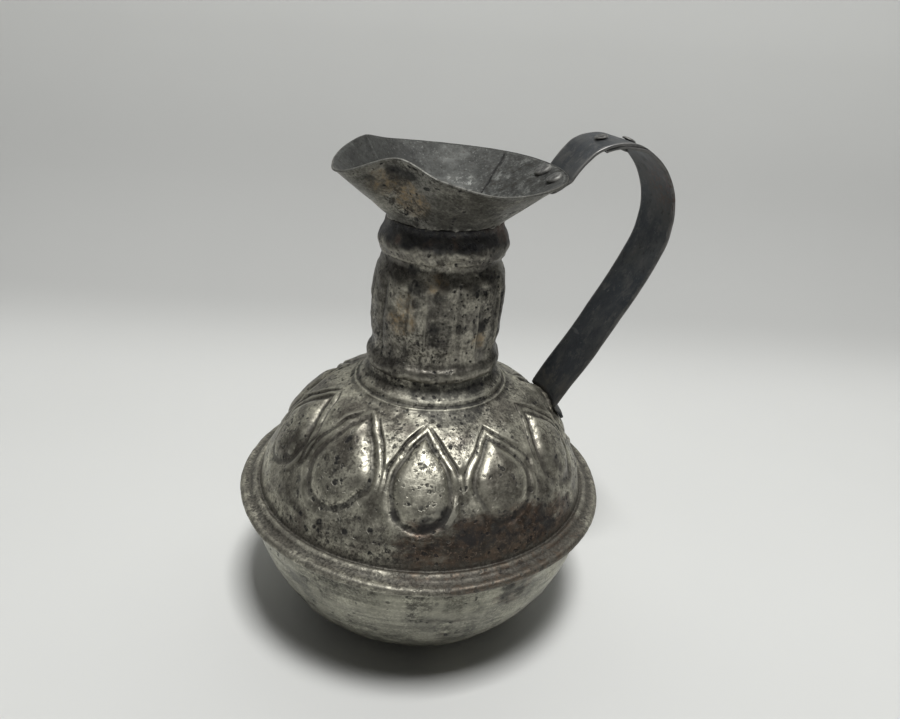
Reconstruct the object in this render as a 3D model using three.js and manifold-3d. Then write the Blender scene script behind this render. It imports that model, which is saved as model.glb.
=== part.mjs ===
// Tinned copper jug with a riveted strap handle.
// Millimetres, +Z up. The origin is the centre of the flat base.
// The handle stands at +X and the pouring lip at -X.
import * as THREE from 'three';
import { mergeVertices } from 'three/addons/utils/BufferGeometryUtils.js';
import Module from 'manifold-3d';

const wasm = await Module();
wasm.setup();
const { degToRad, radToDeg, lerp, inverseLerp, smoothstep, euclideanModulo } = THREE.MathUtils;

// Driving dimensions
const SHEET = 1.2; // thickness of the beaten sheet
const GAP = 0.3; // clearance between pieces that touch
const BRIM_RADIUS = 97; // outer edge of the folded brim, the widest ring of the body
const BRIM_HEIGHT = 73; // middle of the folded brim above the table
const BASE_RADIUS = 35; // flat disc that the jug stands on
const BOWL_RADIUS = 91.4; // bowl just under the brim
const NECK_LEAN = 0.0388; // the hand-made neck drifts this far towards the handle for each mm of height
// Repousse teardrops round the shoulder, laid out by eye: where one ends and the next begins, in degrees
// from +X, and how far up the dome's line each one's outline reaches
const DROP_EDGES = [-157.5, -121, -90.5, -56, -21, 16, 52.5, 90, 127, 165];
const DROP_TIPS = [0.96, 0.87, 0.79, 0.84, 0.92, 0.88, 0.93, 0.86, 0.91, 0.89];
const LOBES = 16; // upright lobes round the neck
const FIRST_GROOVE = degToRad(-88); // one of the grooves between them
const LOBE_DEPTH = 1.5; // from the groove between two lobes to a lobe's crest
const STRAP_WIDTH = 32.6;
const STRAP_THICKNESS = 1.7;
const RIVET_SHANK = 1.8; // radius
const RIVET_FACETS = 10;
const DROP_COLUMNS = 4; // facets of the bowl and shoulder for each teardrop
const COLUMNS = DROP_COLUMNS * DROP_EDGES.length;
const NECK_COLUMNS = 64; // four for each lobe

const FOLD_RADIUS = (3 * SHEET + 2 * GAP) / 2; // outside of the fold that wraps the bowl's edge
const FOLD_CENTRE = BRIM_RADIUS - FOLD_RADIUS;
const FOLD_LIP = 2.2; // width of the fold's lower lip

// Materials
function metal(color, roughness, metalness) {
  return new THREE.MeshStandardMaterial({ color, roughness, metalness });
}
const TINNED_PALE = () => metal(0x9a9a92, 0.42, 0.9);
const TINNED_DARK = () => metal(0x6e6c66, 0.48, 0.85);
const SOOTED = () => metal(0x55544f, 0.55, 0.8);
const BLACK_IRON = () => metal(0x3a3d3f, 0.6, 0.7);
const RIVET_GREY = () => metal(0x5a5b58, 0.5, 0.8);

// A row is one ring of a profile: r and z, with the outward normal (nr, nz) in the profile's plane.
// Profiles run so that the outside of the sheet lies to the right of the direction of travel.
function rowsFrom(points) {
  return points.map(([r, z], i) => {
    const [r0, z0] = points[Math.max(i - 1, 0)];
    const [r1, z1] = points[Math.min(i + 1, points.length - 1)];
    const length = Math.hypot(r1 - r0, z1 - z0);
    return { r, z, nr: (z1 - z0) / length, nz: -(r1 - r0) / length };
  });
}

// The neck's lean: a sideways drift that grows with height above the brim.
function lean(x, y, z) {
  return [x + NECK_LEAN * Math.max(z - BRIM_HEIGHT, 0), y, z];
}

// The point of a row at an angle, raised along the row's normal.
function onRow(row, angle, raise) {
  const r = row.r + raise * row.nr;
  return lean(r * Math.cos(angle), r * Math.sin(angle), row.z + raise * row.nz);
}

// Collects the two faces of a sheet and closes them along their open edges.
class Sheet {
  constructor() {
    this.outer = [];
    this.inner = [];
    this.faces = [];
  }

  add(outerPoint, innerPoint) {
    this.outer.push(outerPoint);
    this.inner.push(innerPoint);
    return this.outer.length - 1;
  }

  // One ring of vertices on a row; relief(angle) raises both faces alike.
  ring(row, angles, relief = () => 0) {
    return angles.map((angle) => {
      const raise = relief(angle);
      return this.add(onRow(row, angle, raise), onRow(row, angle, raise - SHEET));
    });
  }

  // Joins two rings of equal count; the second lies further along the profile.
  strip(a, b, closed = true) {
    const last = closed ? a.length : a.length - 1;
    for (let i = 0; i < last; i++) {
      const j = (i + 1) % a.length;
      this.faces.push([a[i], a[j], b[j]], [a[i], b[j], b[i]]);
    }
  }

  fan(centre, ring) {
    ring.forEach((v, i) => this.faces.push([centre, v, ring[(i + 1) % ring.length]]));
  }

  // The closed body. The edges of the faces that have no neighbour are walled from face to face.
  geometry() {
    const offset = this.outer.length;
    const index = [];
    const open = new Map();
    for (const [a, b, c] of this.faces) {
      index.push(a, b, c, a + offset, c + offset, b + offset);
      for (const [p, q] of [[a, b], [b, c], [c, a]]) {
        if (!open.delete(`${q},${p}`)) open.set(`${p},${q}`, [p, q]);
      }
    }
    for (const [p, q] of open.values()) {
      index.push(q, p, p + offset, q, p + offset, q + offset);
    }
    const geometry = new THREE.BufferGeometry();
    const positions = [...this.outer, ...this.inner].flat();
    geometry.setAttribute('position', new THREE.Float32BufferAttribute(positions, 3));
    geometry.setIndex(index);
    return geometry;
  }
}

function anglesRound(count, start = 0) {
  return Array.from({ length: count }, (_, i) => start + (i * 2 * Math.PI) / count);
}

// The angle at a share of the way across teardrop n's part of the dome
function acrossDrop(n, share) {
  const start = DROP_EDGES[n];
  const end = n + 1 < DROP_EDGES.length ? DROP_EDGES[n + 1] : DROP_EDGES[0] + 360;
  return degToRad(lerp(start, end, share));
}

const ROUND = anglesRound(COLUMNS).map((_, i) => {
  return acrossDrop(Math.floor(i / DROP_COLUMNS), (i % DROP_COLUMNS) / DROP_COLUMNS);
});

// Bowl: flat base, a full round wall and a turned-out edge that the brim is folded over.
function bowlRows() {
  const depth = BRIM_HEIGHT - FOLD_RADIUS;
  const fullness = 1.65; // how early the wall turns upright
  const roundness = 2.3; // how soft the turn from the base is
  const rings = 7;
  const stepsToBrim = 6.4; // from the last ring it is a short step to the brim
  const points = [];
  for (let i = 0; i < rings; i++) {
    const below = Math.cos((i / stepsToBrim) * (Math.PI / 2)); // 1 at the base, 0 under the brim
    const out = (1 - below ** fullness) ** (1 / roundness);
    points.push([BASE_RADIUS + (BOWL_RADIUS - BASE_RADIUS) * out, depth * (1 - below)]);
  }
  const underEdge = BRIM_HEIGHT - SHEET / 2;
  points.push([BOWL_RADIUS, BRIM_HEIGHT - FOLD_RADIUS - SHEET / 2]);
  points.push([BOWL_RADIUS + SHEET / 2, underEdge - SHEET / 4]);
  points.push([FOLD_CENTRE, underEdge]);
  const rows = rowsFrom(points);
  rows[0].nr = 0;
  rows[0].nz = -1;
  return rows;
}

function bowl() {
  const sheet = new Sheet();
  const centre = sheet.add([0, 0, 0], [0, 0, SHEET]);
  const rings = bowlRows().map((row) => sheet.ring(row, ROUND));
  sheet.faces.push(...ROUND.map((_, i) => [centre, rings[0][(i + 1) % COLUMNS], rings[0][i]]));
  for (let i = 1; i < rings.length; i++) sheet.strip(rings[i - 1], rings[i]);
  return sheet.geometry();
}

// Shoulder: the fold round the bowl's edge, the brim with its ridge, the cove, the dome and the collar.
const DOME_POINTS = [
  [84.0, 13.6],
  [79.7, 21.3],
  [73.6, 31.0],
  [65.8, 40.7],
  [57.2, 48.6],
  [48.4, 54.6],
  [43.0, 57.6],
].map(([r, h]) => new THREE.Vector2(r, BRIM_HEIGHT + h));
const DOME = new THREE.SplineCurve(DOME_POINTS);

function domeRow(t) {
  const p = DOME.getPoint(t);
  const d = DOME.getTangent(t);
  return { r: p.x, z: p.y, nr: d.y, nz: -d.x };
}

function brimPoints() {
  const points = [[FOLD_CENTRE - FOLD_LIP, BRIM_HEIGHT - FOLD_RADIUS]];
  for (const turn of [-90, -45, 0, 45, 90].map(degToRad)) {
    const r = FOLD_CENTRE + FOLD_RADIUS * Math.cos(turn);
    points.push([r, BRIM_HEIGHT + FOLD_RADIUS * Math.sin(turn)]);
  }
  const ridgeAndCove = [[91.4, 2.5], [88.9, 4.3], [86.9, 3.5], [86.1, 5.4], [85.2, 9.4]];
  for (const [r, h] of ridgeAndCove) points.push([r, BRIM_HEIGHT + h]);
  points.push([DOME_POINTS[0].x, DOME_POINTS[0].y]);
  return points;
}

function collarPoints() {
  const last = DOME_POINTS[DOME_POINTS.length - 1];
  const step = [[39.6, 59.3], [39.0, 60.3], [38.2, 60.2], [36.4, 62.6], [33.9, 64.4]];
  const tube = [[32.4, 66.6], [31.9, 70.4], [31.9, 76.5]]; // goes up inside the neck
  return [[last.x, last.y], ...[...step, ...tube].map(([r, h]) => [r, BRIM_HEIGHT + h])];
}

// Places on the dome go by the parameter of its spline
const DROP_BOTTOM = 0.07;
const DROP_CENTRE = 0.46;
const DROP_WIDEST = 0.44; // share of the teardrop's height
const DROP_FILL = 0.96; // share of its part of the dome that it fills across
const DROP_POINTS = 8; // from the bottom point up one side to the tip
const DROP_POINTEDNESS = 1.6; // how full its upper half is: 1 has straight sides, 2 is round
const DROP_TOP = 2.9; // height of the domed middle
const DROP_RINGS = [
  { scale: 1.0, raise: -0.2 }, // groove outside the raised outline
  { scale: 0.87, raise: 1.6 }, // crest of the outline
  { scale: 0.76, raise: 0.5 }, // groove inside it
  { scale: 0.6, raise: 1.9 }, // edge of the domed middle
  { scale: 0.34, raise: 2.7 },
];
const TOUCH = 1.3; // neighbours touch at their widest; there the groove fills up by this much

// The cell round a teardrop has four sides. These are where its outline's points meet them:
// x runs from the middle to the side, t up the dome. Above the touch lies a raised triangle.
const CELL_SIDE = [0.32, 0.49, 0.76];
const CELL_SIDE_RAISE = [0.3, TOUCH, 1.2];
const CELL_BORDER = [[0, 0], [0.5, 0], [1, 0], ...CELL_SIDE.map((t) => [1, t]), [1, 1], [0.5, 1], [0, 1]];

// Half a teardrop from the bottom point to the tip: round below, drawn to a point above.
function teardropHalf() {
  return Array.from({ length: DROP_POINTS + 1 }, (_, k) => {
    const y = (1 - Math.cos((Math.PI * k) / DROP_POINTS)) / 2;
    const low = Math.sqrt(Math.max(1 - ((y - DROP_WIDEST) / DROP_WIDEST) ** 2, 0));
    const high = 1 - (Math.abs(y - DROP_WIDEST) / (1 - DROP_WIDEST)) ** DROP_POINTEDNESS;
    return [y < DROP_WIDEST ? low : high, y];
  });
}

// Adds the other half, going back down.
function mirrored(half) {
  const other = half.slice(1, -1).reverse().map(([x, y]) => [-x, y]);
  return [...half, ...other];
}

function onDome(sheet, angle, t, raise) {
  const row = domeRow(t);
  return sheet.add(onRow(row, angle, raise), onRow(row, angle, raise - SHEET));
}

// The relief of teardrop n; its border is a ring of vertices that it shares with its neighbours.
function addTeardrop(sheet, n, border) {
  const outline = mirrored(teardropHalf());
  const height = DROP_TIPS[n] - DROP_BOTTOM;
  const rings = DROP_RINGS.map(({ scale, raise }, ring) =>
    outline.map(([x, y]) => {
      const angle = acrossDrop(n, (1 + x * scale * DROP_FILL) / 2);
      const t = DROP_BOTTOM + y * height;
      const touch = ring === 0 ? TOUCH * smoothstep(Math.abs(x), 0.85, 1) : 0;
      return onDome(sheet, angle, DROP_CENTRE + (t - DROP_CENTRE) * scale, raise + touch);
    }),
  );
  sheet.strip(border, rings[0]);
  for (let i = 1; i < rings.length; i++) sheet.strip(rings[i - 1], rings[i]);
  sheet.fan(onDome(sheet, acrossDrop(n, 0.5), DROP_CENTRE, DROP_TOP), rings[rings.length - 1]);
}

function shoulder() {
  const sheet = new Sheet();
  const low = rowsFrom(brimPoints());
  low[low.length - 1] = domeRow(0);
  const high = rowsFrom(collarPoints());
  high[0] = domeRow(1);
  const lowRings = low.map((row) => sheet.ring(row, ROUND));
  const highRings = high.map((row) => sheet.ring(row, ROUND));
  for (const rings of [lowRings, highRings]) {
    for (let i = 1; i < rings.length; i++) sheet.strip(rings[i - 1], rings[i]);
  }
  const bottom = lowRings[lowRings.length - 1];
  const top = highRings[0];
  const sides = DROP_EDGES.map((_, n) =>
    CELL_SIDE.map((t, i) => onDome(sheet, acrossDrop(n, 1), t, CELL_SIDE_RAISE[i])),
  );
  DROP_EDGES.forEach((_, n) => {
    const border = mirrored(CELL_BORDER).map(([x, t]) => {
      const column = ((n + (1 + x) / 2) * DROP_COLUMNS) % COLUMNS;
      if (t === 0) return bottom[column];
      if (t === 1) return top[column];
      const side = x > 0 ? sides[n] : sides.at(n - 1);
      return side[CELL_SIDE.indexOf(t)];
    });
    addTeardrop(sheet, n, border);
  });
  return sheet.geometry();
}

// Neck: lower bead over the collar, barrel of lobes, upper bead and a narrow top.
const NECK_POINTS = [
  [33.5, 71.0],
  [34.2, 73.6],
  [33.7, 76.4],
  [32.1, 78.8],
  [31.6, 82.6],
  [32.3, 89],
  [32.7, 102],
  [32.2, 114],
  [30.9, 121],
  [29.4, 125.4],
  [31.6, 131.8],
  [31.2, 136.2],
  [28.6, 141.2],
  [28.3, 143.4],
].map(([r, h]) => [r, BRIM_HEIGHT + h]);
const LOBES_FROM = 83; // height above the brim where the lobes begin
const LOBES_TO = 122;
const LOBE_FADE = 5;
const LOBE_BREADTH = 0.7; // below 1 the crests are broad and the grooves narrow
const LOBE_MEAN = 0.55; // share of the depth that lies below the neck's profile

// Each lobe is a broad round crest between two narrow grooves.
function lobeRelief(height) {
  const above = smoothstep(height, LOBES_FROM, LOBES_FROM + LOBE_FADE);
  const below = 1 - smoothstep(height, LOBES_TO - LOBE_FADE, LOBES_TO);
  const strength = above * below * LOBE_DEPTH;
  return (angle) => {
    const crest = Math.abs(Math.sin(((angle - FIRST_GROOVE) * LOBES) / 2)) ** LOBE_BREADTH;
    return strength * (crest - LOBE_MEAN);
  };
}

function neck() {
  const sheet = new Sheet();
  const angles = anglesRound(NECK_COLUMNS, FIRST_GROOVE);
  const rings = rowsFrom(NECK_POINTS).map((row) => {
    return sheet.ring(row, angles, lobeRelief(row.z - BRIM_HEIGHT));
  });
  for (let i = 1; i < rings.length; i++) sheet.strip(rings[i - 1], rings[i]);
  return sheet.geometry();
}

// Mouth: a skirt inside the neck, then a funnel whose rim is pinched into a pouring lip.
// Once round the rim from the lip's far corner: angle from +X, radius, height above the brim.
const RIM = [
  [135, 49.3, 175.0],
  [157, 51.4, 171.7],
  [180, 54.9, 168.1], // the tip of the lip
  [203, 58.2, 168.7],
  [225, 47.6, 176.2], // the lip's near corner, a soft hump
  [248, 47.4, 169.5],
  [280, 50.3, 163.6],
  [320, 53.2, 164.3],
  [360, 57.3, 165.1], // at the handle
  [400, 59.6, 166.7],
  [435, 58.4, 168.1],
  [468, 56.7, 170.5],
];
const FAR_CORNER = RIM[0][0];
const RIM_ANGLES = [...RIM.map(([angle]) => angle), FAR_CORNER + 360];
const RIM_CURVE = new THREE.SplineCurve([...RIM, RIM[0]].map(([, r, h]) => new THREE.Vector2(r, h)));
const SKIRT_RADIUS = 26.6;
const SKIRT_LOW = 133;
const SKIRT_HIGH = 143;
const FUNNEL_FOOT = { radius: 27.2, height: 144.1 };
const FUNNEL_STEPS = [0, 0.35, 0.7, 1]; // shares of the way up to the rim

// Radius and height of the rim: a smooth line that is broken only at the far corner.
function rimAt(angle) {
  const degrees = FAR_CORNER + euclideanModulo(radToDeg(angle) - FAR_CORNER, 360);
  const next = RIM_ANGLES.findIndex((place, i) => i > 0 && degrees <= place);
  const share = inverseLerp(RIM_ANGLES[next - 1], RIM_ANGLES[next], degrees);
  return RIM_CURVE.getPoint((next - 1 + share) / (RIM_ANGLES.length - 1));
}

// Radius and height of the funnel's outer face: angle from +X, and u from its foot to the rim.
function funnelAt(angle, u) {
  const rim = rimAt(angle);
  const r = lerp(FUNNEL_FOOT.radius, rim.x, u);
  const h = lerp(FUNNEL_FOOT.height, rim.y, u);
  return [r, BRIM_HEIGHT + h];
}

function funnelPoint(angle, u) {
  const [r, z] = funnelAt(angle, u);
  return new THREE.Vector3(...lean(r * Math.cos(angle), r * Math.sin(angle), z));
}

function funnelNormal(angle, u) {
  const step = 0.01;
  const along = funnelPoint(angle, u + step).sub(funnelPoint(angle, u - step));
  const round = funnelPoint(angle + step, u).sub(funnelPoint(angle - step, u));
  return round.cross(along).normalize();
}

function mouth() {
  const sheet = new Sheet();
  const angles = anglesRound(COLUMNS);
  const skirt = [SKIRT_LOW, SKIRT_HIGH].map((h) => [SKIRT_RADIUS, BRIM_HEIGHT + h]);
  const rings = rowsFrom(skirt).map((row) => sheet.ring(row, angles));
  for (const u of FUNNEL_STEPS) {
    const ring = angles.map((angle) => {
      const outside = funnelPoint(angle, u);
      const inside = outside.clone().addScaledVector(funnelNormal(angle, u), -SHEET);
      return sheet.add(outside.toArray(), inside.toArray());
    });
    rings.push(ring);
  }
  for (let i = 1; i < rings.length; i++) sheet.strip(rings[i - 1], rings[i]);
  return sheet.geometry();
}

// Handle: the outer face of both straps follows one line in the plane y = 0, in three stretches:
// down the funnel's outside, free through the air, and along the dome at the foot.
const ARCH_POINTS = [
  [69.0, 172.8],
  [75.2, 179.2],
  [84.6, 182.2],
  [94.2, 181.2],
  [103.6, 176.2],
  [111.6, 168.2],
  [117.0, 158.2],
  [119.3, 147.0],
  [118.4, 134.6],
  [114.6, 123.4],
  [106.4, 106.5],
  [91.6, 80.4],
  [78.5, 57.6],
].map(([x, h]) => new THREE.Vector2(x, BRIM_HEIGHT + h));
const ACROSS = [1, 0.5, 0, -0.5, -1].map((side) => (side * STRAP_WIDTH) / 2);
const WALL_STATIONS = [0.7, 0.85, 1.0]; // shares of the way up the funnel
const FOOT_STATIONS = [0.5, 0.45, 0.395]; // places on the dome's spline
const FOOT_RAISE = DROP_TOP + GAP + STRAP_THICKNESS;
const FOOT_CUPPED = 0.7; // the tab's edges are hammered down by this much over the teardrop
const FADE = 36; // the strap's hollow, which fits the funnel or the dome, dies out over this length
const FREE_STEP = 7;
const LAP_START = 21; // the lower strap's end, measured along the free stretch
const LAP_END = 45; // the upper strap's end, hammered thin
const LAP_EASE = 5; // the upper strap thins over this length, and the lower one rises past its end
const LAP_DROP = STRAP_THICKNESS + GAP;
const THIN_END = LAP_DROP / 2 - GAP;

function onWall(u, y) {
  const [r] = funnelAt(0, u);
  const angle = Math.asin(y / r);
  return funnelPoint(angle, u).addScaledVector(funnelNormal(angle, u), GAP);
}

function onFoot(t, y) {
  const row = domeRow(t);
  const raise = FOOT_RAISE - FOOT_CUPPED * (y / ACROSS[0]) ** 2;
  return new THREE.Vector3(...onRow(row, Math.asin(y / (row.r + raise)), raise));
}

function flat({ x, z }) {
  return new THREE.Vector2(x, z);
}

const WALL_END = WALL_STATIONS[WALL_STATIONS.length - 1];
const FREE_LINE = new THREE.SplineCurve([
  flat(onWall(WALL_END, 0)),
  ...ARCH_POINTS,
  flat(onFoot(FOOT_STATIONS[0], 0)),
]);
const FREE_LENGTH = FREE_LINE.getLength();

// A point of the free stretch: s along the line, y across, raised along the outward normal.
function onFree(s, y, raise = 0) {
  const p = FREE_LINE.getPointAt(s / FREE_LENGTH);
  const d = FREE_LINE.getTangentAt(s / FREE_LENGTH);
  const atWall = onWall(WALL_END, y).sub(onWall(WALL_END, 0)).setY(0);
  const atFoot = onFoot(FOOT_STATIONS[0], y).sub(onFoot(FOOT_STATIONS[0], 0)).setY(0);
  const point = new THREE.Vector3(p.x - d.y * raise, y, p.y + d.x * raise);
  point.addScaledVector(atWall, 1 - smoothstep(s, 0, FADE));
  point.addScaledVector(atFoot, smoothstep(s, FREE_LENGTH - FADE, FREE_LENGTH));
  return point;
}

function freeStations(from, to) {
  const count = Math.round((to - from) / FREE_STEP);
  return Array.from({ length: count + 1 }, (_, i) => from + ((to - from) * i) / count);
}

// A strap from the grid of its outer face: stations along it, points across it.
function strap(grid, endThickness = STRAP_THICKNESS) {
  const sheet = new Sheet();
  const rings = grid.map((line, i) => {
    const thickness = i === grid.length - 1 ? endThickness : STRAP_THICKNESS;
    return line.map((point, j) => {
      const before = grid[Math.max(i - 1, 0)][j];
      const after = grid[Math.min(i + 1, grid.length - 1)][j];
      const left = line[Math.max(j - 1, 0)];
      const right = line[Math.min(j + 1, line.length - 1)];
      const along = after.clone().sub(before);
      const across = right.clone().sub(left);
      const normal = along.cross(across).normalize();
      return sheet.add(point.toArray(), point.clone().addScaledVector(normal, thickness).toArray());
    });
  });
  for (let i = 1; i < rings.length; i++) sheet.strip(rings[i - 1], rings[i], false);
  return sheet.geometry();
}

function upperStrapGrid() {
  const wall = WALL_STATIONS.map((u) => ACROSS.map((y) => onWall(u, y)));
  const stations = [...freeStations(0, LAP_END - LAP_EASE).slice(1), LAP_END];
  return [...wall, ...stations.map((s) => ACROSS.map((y) => onFree(s, y)))];
}

function lowerStrapGrid() {
  const easeFrom = LAP_END - LAP_EASE;
  const easeTo = LAP_END + LAP_EASE;
  const drop = (s) => -LAP_DROP * (1 - smoothstep(s, easeFrom, easeTo));
  const stations = [...freeStations(LAP_START, easeFrom), LAP_END, ...freeStations(easeTo, FREE_LENGTH)];
  const free = stations.slice(0, -1).map((s) => ACROSS.map((y) => onFree(s, y, drop(s))));
  const foot = FOOT_STATIONS.map((t) => ACROSS.map((y) => onFoot(t, y)));
  return [...free, ...foot];
}

// Rivets: a flat-domed head, a shank and a hammered tail. The axis is Z, the head's seat is at 0.
function rivetGeometry({ head, headHeight, tail, tailHeight, grip }) {
  const profile = [
    [0, -grip - tailHeight],
    [tail, -grip - tailHeight * 0.5],
    [tail, -grip],
    [RIVET_SHANK, -grip],
    [RIVET_SHANK, 0],
    [head, 0],
    [head * 0.92, headHeight * 0.5],
    [head * 0.5, headHeight * 0.9],
    [0, headHeight],
  ];
  const points = profile.map(([r, z]) => new THREE.Vector2(r, z));
  return new THREE.LatheGeometry(points, RIVET_FACETS).rotateX(Math.PI / 2);
}

// A rivet's place: the seat of its head, and the way the head faces.
function place(object, seat, facing) {
  object.quaternion.setFromUnitVectors(new THREE.Vector3(0, 0, 1), facing);
  object.position.copy(seat);
  object.updateMatrix();
  return object;
}

const MOUTH_RIVETS = [-7.2, 10.2]; // across the strap
const MOUTH_RIVET_AT = 0.84; // share of the way up the funnel
const ARCH_RIVETS = [25, 40]; // along the free stretch
const LOOSE = 2 * GAP; // a flat head stands this far off a hollow face

function mouthRivet(y) {
  const [r] = funnelAt(0, MOUTH_RIVET_AT);
  const angle = Math.asin(y / r);
  const facing = funnelNormal(angle, MOUTH_RIVET_AT).negate();
  const seat = funnelPoint(angle, MOUTH_RIVET_AT).addScaledVector(facing, SHEET + LOOSE);
  const grip = SHEET + LOOSE + GAP + STRAP_THICKNESS + LOOSE;
  return { seat, facing, shape: { head: 4.2, headHeight: 1.1, tail: 3.3, tailHeight: 1.3, grip } };
}

function archRivet(s) {
  const seat = onFree(s, 0, GAP);
  const facing = onFree(s, 0, 1).sub(onFree(s, 0)).normalize();
  const grip = GAP + 2 * STRAP_THICKNESS + GAP + LOOSE;
  return { seat, facing, shape: { head: 3.7, headHeight: 1.5, tail: 3.0, tailHeight: 1.6, grip } };
}

const RIVETS = {
  mouth: MOUTH_RIVETS.map(mouthRivet),
  arch: ARCH_RIVETS.map(archRivet),
};

// Cutting: solids made from closed geometries, and back
function toSolid(geometry) {
  const bare = new THREE.BufferGeometry();
  bare.setAttribute('position', geometry.getAttribute('position').clone());
  if (geometry.index) bare.setIndex(geometry.index.clone());
  const merged = mergeVertices(bare, 1e-4);
  const mesh = new wasm.Mesh({
    numProp: 3,
    vertProperties: new Float32Array(merged.getAttribute('position').array),
    triVerts: new Uint32Array(merged.index.array),
  });
  return new wasm.Manifold(mesh);
}

function toGeometry(solid) {
  const mesh = solid.getMesh();
  const geometry = new THREE.BufferGeometry();
  geometry.setAttribute('position', new THREE.Float32BufferAttribute(mesh.vertProperties, 3));
  geometry.setIndex(new THREE.Uint32BufferAttribute(mesh.triVerts, 1));
  return geometry;
}

function drilled(geometry, rivets) {
  let solid = toSolid(geometry);
  for (const { seat, facing, shape } of rivets) {
    const length = shape.grip + 2; // the bit comes out at both ends
    const bit = new THREE.CylinderGeometry(RIVET_SHANK + GAP, RIVET_SHANK + GAP, length, RIVET_FACETS);
    bit.rotateX(Math.PI / 2).translate(0, 0, -shape.grip / 2);
    const holder = place(new THREE.Object3D(), seat, facing);
    solid = solid.subtract(toSolid(bit.applyMatrix4(holder.matrix)));
  }
  return toGeometry(solid);
}

// Assembly
const jug = new THREE.Group();

function addPiece(name, geometry, material) {
  const mesh = new THREE.Mesh(geometry, material);
  mesh.name = name;
  jug.add(mesh);
  return mesh;
}

const upperStrap = strap(upperStrapGrid(), THIN_END);
addPiece('bowl', bowl(), TINNED_PALE());
addPiece('shoulder', shoulder(), TINNED_DARK());
addPiece('neck', neck(), TINNED_DARK());
addPiece('mouth', drilled(mouth(), RIVETS.mouth), SOOTED());
addPiece('handle_upper_strap', drilled(upperStrap, [...RIVETS.mouth, ...RIVETS.arch]), BLACK_IRON());
addPiece('handle_lower_strap', drilled(strap(lowerStrapGrid()), RIVETS.arch), BLACK_IRON());
for (const [where, rivets] of Object.entries(RIVETS)) {
  rivets.forEach(({ seat, facing, shape }, i) => {
    place(addPiece(`${where}_rivet_${i + 1}`, rivetGeometry(shape), RIVET_GREY()), seat, facing);
  });
}

export default jug;
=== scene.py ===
# Looks of the tinned copper jug: fine uneven forms, worn metal and a pale studio
import math

import bpy
import numpy as np
from mathutils import Matrix, Vector


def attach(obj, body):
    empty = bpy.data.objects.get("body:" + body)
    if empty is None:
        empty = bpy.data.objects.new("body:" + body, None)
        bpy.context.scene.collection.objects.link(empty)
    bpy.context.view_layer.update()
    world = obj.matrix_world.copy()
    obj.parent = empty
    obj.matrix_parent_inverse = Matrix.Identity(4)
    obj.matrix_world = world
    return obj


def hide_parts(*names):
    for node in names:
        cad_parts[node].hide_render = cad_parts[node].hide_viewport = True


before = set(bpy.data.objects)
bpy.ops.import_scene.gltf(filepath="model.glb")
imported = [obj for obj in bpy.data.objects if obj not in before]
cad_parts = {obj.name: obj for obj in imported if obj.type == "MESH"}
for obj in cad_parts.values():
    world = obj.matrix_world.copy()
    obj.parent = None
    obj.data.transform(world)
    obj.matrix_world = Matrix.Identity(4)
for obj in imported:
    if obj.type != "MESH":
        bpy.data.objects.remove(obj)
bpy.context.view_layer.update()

MM = 0.001
DEG = math.pi / 180

# Body and neck, in millimetres; heights of profiles are above the brim
SHEET = 1.2
GAP = 0.3
BRIM_RADIUS = 97
BRIM = 73
BASE_RADIUS = 35
BOWL_RADIUS = 91.4
FOLD_RADIUS = (3 * SHEET + 2 * GAP) / 2
FOLD_CENTRE = BRIM_RADIUS - FOLD_RADIUS
FOLD_LIP = 2.2
NECK_LEAN = 0.0388

# The dome's profile: radius, height
DOME = [(84.0, 13.6), (79.7, 21.3), (73.6, 31.0), (65.8, 40.7), (57.2, 48.6), (48.4, 54.6), (43.0, 57.6)]

# The ten teardrops: where one ends and the next begins, and how far up the dome each tip goes
DROP_EDGES = np.array([-157.5, -121, -90.5, -56, -21, 16, 52.5, 90, 127, 165, 202.5]) * DEG
DROP_TIPS = (0.96, 0.87, 0.79, 0.84, 0.92, 0.88, 0.93, 0.86, 0.91, 0.89)
DROP_BOTTOM, DROP_CENTRE, DROP_WIDEST, DROP_FILL, DROP_POINTEDNESS = 0.07, 0.46, 0.44, 0.96, 1.6
DROP_TOP = 2.9

# Relief across a teardrop: share of the way from its centre to its outline, and height
DROP_GROOVE = 0.75
DROP_SECTION = np.array([
    (0, 2.75), (0.3, 2.68), (0.48, 2.38), (0.59, 1.8), (0.66, 1.1), (0.7, 0.55), (0.74, 0.18), (0.775, 0.15),
    (0.82, 0.55), (0.87, 1.1), (0.92, 1.2), (0.98, 0.8), (1.05, 0.36), (1.12, 0.1), (1.2, 0), (1.3, 0),
])

# The neck's lobes
LOBES = 16
FIRST_GROOVE = -88 * DEG
LOBE_DEPTH = 1.5
LOBES_BOTTOM, LOBES_TOP = 82.5, 123.0

# The mouth, once round the rim from the lip's far corner: angle, radius, height
RIM = np.array([
    (135, 49.3, 175.0), (157, 51.4, 171.7), (180, 54.9, 168.1), (203, 58.2, 168.7), (225, 47.6, 176.2),
    (248, 47.4, 169.5), (280, 50.3, 163.6), (320, 53.2, 164.3), (360, 57.3, 165.1), (400, 59.6, 166.7),
    (435, 58.4, 168.1), (468, 56.7, 170.5), (495, 49.3, 175.0),
])
SKIRT_RADIUS, SKIRT_LOW, SKIRT_HIGH, SKIRT_ROWS = 26.6, 133, 143, 12
FUNNEL_FOOT = (27.2, 144.1)

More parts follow.
